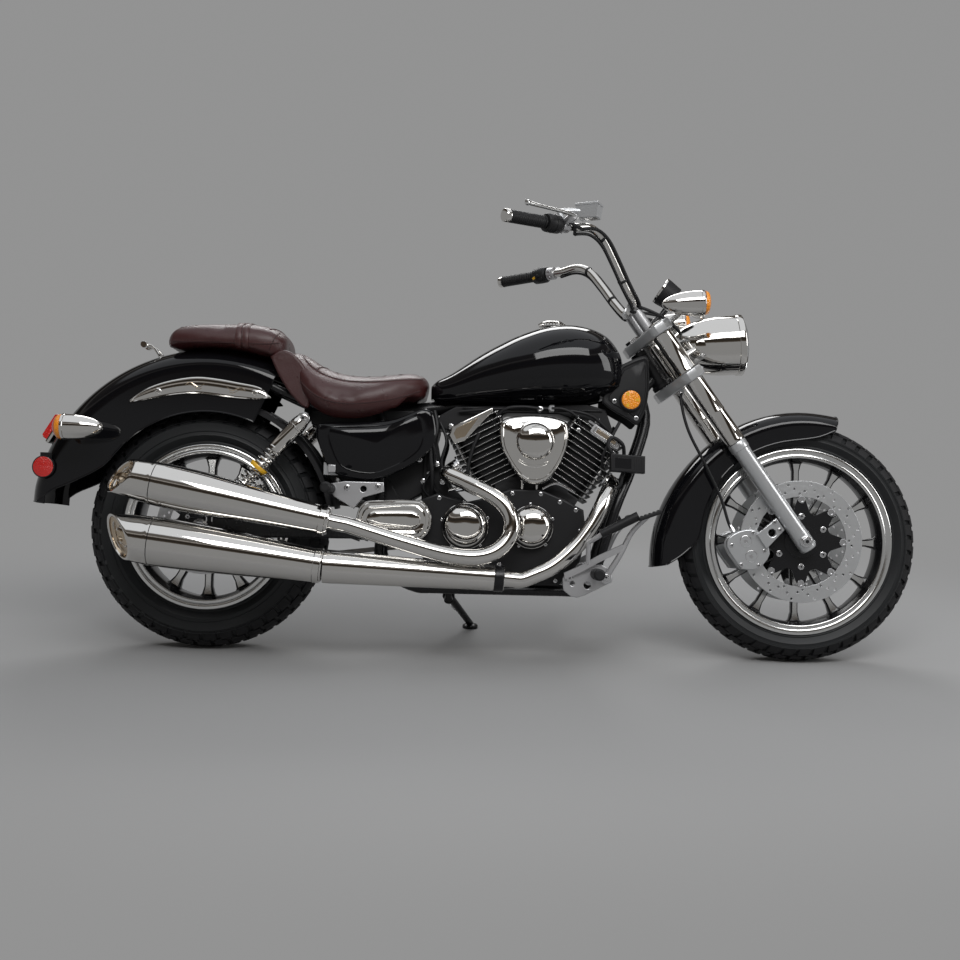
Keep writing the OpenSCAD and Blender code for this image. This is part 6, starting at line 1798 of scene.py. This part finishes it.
BAR_MIDDLE = Vector((-11, 0, 762))
FORWARD = Vector((math.cos(RAKE), 0, -math.sin(RAKE)))
RISE = Vector((math.sin(RAKE), 0, math.cos(RAKE)))
BAR_ROWS = [(0, 0, 0), (0, 66, 0), (-9, 98, 11), (-36, 128, 50), (-66, 160, 100), (-98, 194, 146), (-132, 227, 164),
    (-172, 255, 158),
            (-185, 264.4, 157.5), (-348, 382, 151)]
BAR_HALF = [BAR_MIDDLE + x * FORWARD + Vector((0, y, 0)) + z * RISE for x, y, z in BAR_ROWS]
BAR_END = BAR_HALF[-1]
BAR_DIR = (BAR_END - BAR_HALF[-2]).normalized()
LEVER_OUT = BAR_DIR.cross(Vector((0, 0, 1))).normalized()
LEVER_UP = LEVER_OUT.cross(BAR_DIR)


def bar_point(along, out=0.0, up=0.0, side=1):
    p = BAR_END - along * BAR_DIR + out * LEVER_OUT + up * LEVER_UP
    return Vector((p.x, side * p.y, p.z))


def handlebar():
    bar = Piece()
    half = catmull(BAR_HALF, 8)
    bar.tube([(p.x, -p.y, p.z) for p in half[:0:-1]] + list(half), 10.9, CHROME, 28)
    for s in (1, -1):
        bar.turned((-11, s * 52 - 15, 762), (-11, s * 52 + 15, 762), [[0, 13], [1, 16], [29, 16], [30, 13]],
            PAINTED, 36)
    bar.done("handlebar_tube", "fork", "chrome", ["handlebar"], space=FORK)

    grip, switches, levers = Piece(), Piece(), Piece()

    def one(side):
        inner, outer = bar_point(118, side=side), bar_point(-6, side=side)
        rows = [[0, 13], [0.6, 16.4], [5, 16.4], [6, 14.6]]
        for k in range(16):
            rows += [[7 + 6.2 * k, 14.8], [8 + 6.2 * k, 15.9], [11.2 + 6.2 * k, 15.9], [12.2 + 6.2 * k, 14.8]]
        rows += [[108, 15], [109, 16.4]]
        grip.turned(inner, outer, rows + [[110, 16.4], [110, 11.2]], RUBBER, 40)
        grip.turned(inner, outer, [[110.2, 12], [110.2, 16.4], [121, 16.4], [123, 15], [124, 10], [124, 0.1]],
            CHROME, 40)
        a, b = bar_point(166, side=side), bar_point(120, side=side)
        switches.turned(a, b, [[0, 15], [1.5, 21], [5, 23.2], [22, 23.8], [22.6, 22.8], [23.4, 22.8], [24, 23.8],
            [41, 23.2], [44.5, 21], [46, 15]], PLASTIC, 40)
        back = bar_point(150, -17, 4, side) - bar_point(150, -16, 4, side)
        place = bar_point(143, -22, 3, side)
        switches.box((13, 9, 5), facing(back, place), RED_PAINT if side < 0 else PLASTIC, 1.4)
        switches.box((11, 7, 4), facing(back, bar_point(154, -22, -6, side)), RUBBER, 1.2)
        switches.box((9, 7, 4), facing(back, bar_point(131, -22, -2, side)), YELLOW if side > 0 else RUBBER, 1.2)
        perch = [bar_point(180 + d, side=side) for d in (11, -11)]
        levers.turned(perch[0], perch[1], [[0, 15], [1, 18], [21, 18], [22, 15]], CAST, 36)
        levers.turned(bar_point(180, 14, 0, side), bar_point(180, 46, 0, side),
            [[0, 12], [26, 12], [31, 9], [32, 6]], CAST, 30)
        for up in (9, -9):
            levers.bolt(bar_point(180, -16, up, side), bar_point(180, -17, up, side) - bar_point(180, -16, up, side), 3)
        line = catmull([bar_point(184, 42, 0, side), bar_point(150, 50, 0, side), bar_point(100, 56, -2, side),
            bar_point(50, 62, -4, side),
                        bar_point(14, 65.6, -4, side)], 6)
        levers.tube(line, [4.8 + 0.6 * math.cos(k / len(line) * math.tau) for k in range(len(line) - 1)] + [5.8],
            POLISHED, 16)
        levers.turned(bar_point(24, 64.5, -4, side), bar_point(12, 65.8, -4, side),
            [[0, 4], [1, 6], [6, 7.2], [10, 6], [12, 2]], POLISHED, 20)

    both(one)
    grip.done("hand_grips", "fork", "rubber_black", ["grips"], space=FORK)
    switches.done("switch_pods", "fork", "black_plastic", ["switch_housings"], space=FORK)
    levers.done("hand_levers", "fork", "chrome", ["levers"], space=FORK)

    box = Piece()
    p = BAR_END - 246 * BAR_DIR + 34 * LEVER_OUT + 30 * LEVER_UP
    at = Matrix.Scale(-1, 4, (0, 1, 0)) @ Matrix.Translation(p) @ Matrix.Rotation(RAKE, 4,
        "Y") @ Matrix.Rotation(math.radians(24), 4, "Z")
    walls = [[(sx * x, sy * y, z) for sx, sy in ((1, 1), (-1, 1), (-1, -1), (1, -1))] for x, y,
        z in ((24, 16, -20), (26, 18, -18), (29, 19.6, 12))]
    box.loft(walls, PAINTED, at)
    box.box((62, 42, 7), at @ Matrix.Translation((0, 0, 12)), PAINTED, 2)
    box.box((46, 28, 1.4), at @ Matrix.Translation((0, 0, 18.4)), CAST, 0.5)
    for x, y in ((-26, -16), (26, 16), (-26, 16), (26, -16)):
        box.turned(at @ Vector((x, y, 18.6)), at @ Vector((x, y, 20)), [[0, 3], [0.9, 3], [1, 2.6]], BOLT, 12)
    box.turned(at @ Vector((0, -18.4, -3)), at @ Vector((0, -20, -3)), [[0, 8], [1.2, 8], [1.4, 6.4]], GLASS, 24)
    arm = [bar_point(180, 0, 18.4, -1), bar_point(180, 0, 38, -1), bar_point(196, 8, 39, -1), Vector((p.x, -p.y, p.z))]
    box.tube(catmull(arm, 4), 8, PAINTED, 20)
    box.done("master_cylinder", "fork", "silver_paint", ["brake_reservoir"], space=FORK)

    # Cables that follow the bars down behind the headlight
    cables = Piece()
    half = catmull(BAR_HALF[1:8], 6)
    for side, lift, r in ((-1, (12, 0, -12), 4.4), (-1, (-11, 0, -13), 4.0), (1, (11, 0, -10), 3.8),
        (1, (-11, 0, -11), 3.4)):
        line = [Vector((p.x + lift[0], side * p.y, p.z + lift[2])) for p in half[::-1]]
        line = [Vector((p.x, side * p.y, p.z)) for p in (bar_point(176, 26, -8), bar_point(196, 22, -12))] + line
        line += [Vector((40, side * 40, 700)), Vector((58, side * 34, 640)), Vector((46, side * 30, 590))]
        cables.tube(catmull(line, 2), r, RUBBER, 10)
    for side in (1, -1):
        for row in (3, 5):
            p, q = BAR_HALF[row], BAR_HALF[row + 1]
            spot, along = Vector((p.x, side * p.y, p.z)), Vector((q.x - p.x, side * (q.y - p.y),
                q.z - p.z)).normalized()
            cables.turned(spot, spot + along, [[0, 12.6], [0.6, 13.4], [6, 13.4], [6.6, 12.6]], RUBBER, 24)
    cables.done("bar_cables", "fork", "rubber_black", space=FORK)


LIGHT = fork_p(108, 0, LOWER_YOKE + 54.5)


def lights():
    shell = Piece()
    a, b = LIGHT - Vector((110, 0, 8)), LIGHT + Vector((200, 0, 14.5))
    rows = [[150 * (1 - math.cos(math.radians(t))), max(80 * math.sin(math.radians(t)), 0.1)] for t in range(0, 91, 5)]
    shell.turned(a, b, rows + [[180, 80], [181, 80], [182, 82.4], [186, 83], [196, 83], [198, 81.6], [198.2, 78.6],
        [196, 77.4], [150, 72], [120, 52], [104, 16]], CHROME, 96)
    shell.turned(a, b, [[104, 16], [106, 10], [128, 9], [132, 0.1]], BOLT, 32)
    for s in (1, -1):
        shell.tube([fork_p(75, s * 55, LOWER_YOKE + 67), fork_p(22, s * 84.5, LOWER_YOKE + 67)], 8, CHROME, 20)
        shell.turned(fork_p(75, s * 66, LOWER_YOKE + 67), fork_p(75, s * 84, LOWER_YOKE + 67),
            [[0, 13], [2, 14], [8, 14], [9, 9]], CHROME, 28)
    shell.turned(LIGHT + Vector((-30, 0, 78)), LIGHT + Vector((-24, 0, 100)),
        [[0, 15], [4, 17], [6, 17], [10, 8], [14, 0.1]], CHROME, 32)
    shell.done("headlight_bowl", "fork", "chrome", ["headlight_shell"])
    lens = Piece()
    start = LIGHT + Vector((87.9, 0, 6.4))
    rows = [[-2, 77], [0, 76.6], [3, 74], [8, 62], [12, 44], [15, 24], [16.6, 0.1]]
    lens.turned(start, b, rows, GLASS, 80)
    lens.done("headlight_glass", "fork", "lamp_glass", ["headlight_lens"])

    signals, lenses = Piece(), Piece()
    p0 = fork_p(125.6, LEG_Y + 57, UPPER_YOKE + 0.7)

    def one(side):
        p = Vector((p0.x, side * p0.y, p0.z))
        rows = [[96 * (1 - math.cos(math.radians(t))), max(33 * math.sin(math.radians(t)), 0.1)] for t in range(0,
            91, 6)]
        signals.turned(p - Vector((110, 0, 6)), p, rows + [[100, 33], [101, 33.9], [107, 33.9], [108.6, 33]],
            CHROME, 56)
        low = p + Vector((-56, -side * 12, -20))
        foot = fork_p(40.3, LEG_Y - 3, UPPER_YOKE + 14)
        signals.tube([low, (foot.x, side * foot.y, foot.z)], 6.8, CHROME, 20)
        lenses.turned(p, p + Vector((30, 0, 0)), [[0.3, 31.4], [4, 31.2], [9, 28], [12, 22], [15, 12], [16, 0.1]],
            AMBER, 44)

    both(one)
    signals.done("front_signal_shells", "fork", "chrome", ["front_signals"])
    lenses.done("front_signal_glasses", "fork", "amber", ["front_signal_lenses"])

    dial = Piece()
    a, b = fork_p(105, 0, UPPER_YOKE + 58), fork_p(86.4, 0, UPPER_YOKE + 108)
    length = (b - a).length
    dial.turned(a, b, [[0, 20], [6, 33.4], [length - 12, 37.4], [length - 6, 37.4]], PLASTIC, 64)
    dial.turned(a, b, [[length - 7, 36], [length - 6, 37.9], [length - 1.4, 37.9], [length - 0.4, 36.4],
        [length - 0.6, 33.4], [length - 5, 33]], CHROME, 64)
    dial.turned(a, b, [[length - 6, 33.4], [length - 5, 33.2], [length - 4.9, 0.1]], DIAL, 48)
    face = facing(b - a, a) @ Matrix.Translation((0, 0, length - 4.8))
    for k in range(11):
        t = math.radians(225 - 27 * k)
        dial.box((6, 1.2, 0.8), face @ Matrix.Rotation(t, 4, "Z") @ Matrix.Translation((27, 0, 0)), PAINTED, 0.1)
    dial.box((24, 1.6, 0.8), face @ Matrix.Rotation(math.radians(150), 4, "Z") @ Matrix.Translation((11, 0, 1)),
        RED_PAINT, 0.2)
    dial.turned(face @ Vector((0, 0, 0)), face @ Vector((0, 0, 1)), [[0, 4], [2, 4], [3, 3]], BOLT, 20)
    dial.turned(a, b, [[length - 2.4, 0.1], [length - 2.0, 32.8], [length - 1.4, 33], [length - 1.2, 0.1]], GLASS, 48)
    dial.tube([fork_p(103, 0, UPPER_YOKE + 62), fork_p(-5, 0, UPPER_YOKE + YOKE_T + 8.2)], 8, SATIN, 16)
    dial.done("speedometer", "fork", "black_plastic", ["instrument"])


# ---- The bike ----

front_wheel()
rear_wheel()
frame_members()
swing_arm()
shocks()
tank()
fenders()
fender_trim()
side_panels()
neck_panels()
tail()
cylinder("rear", BANKS["rear"])
cylinder("front", BANKS["front"])
crankcase()
covers()
air_cleaner()
chain()
horn()
inner_parts()
headers()
mufflers()
feet()
stand()
fork()
calipers()
handlebar()
lights()
seats()
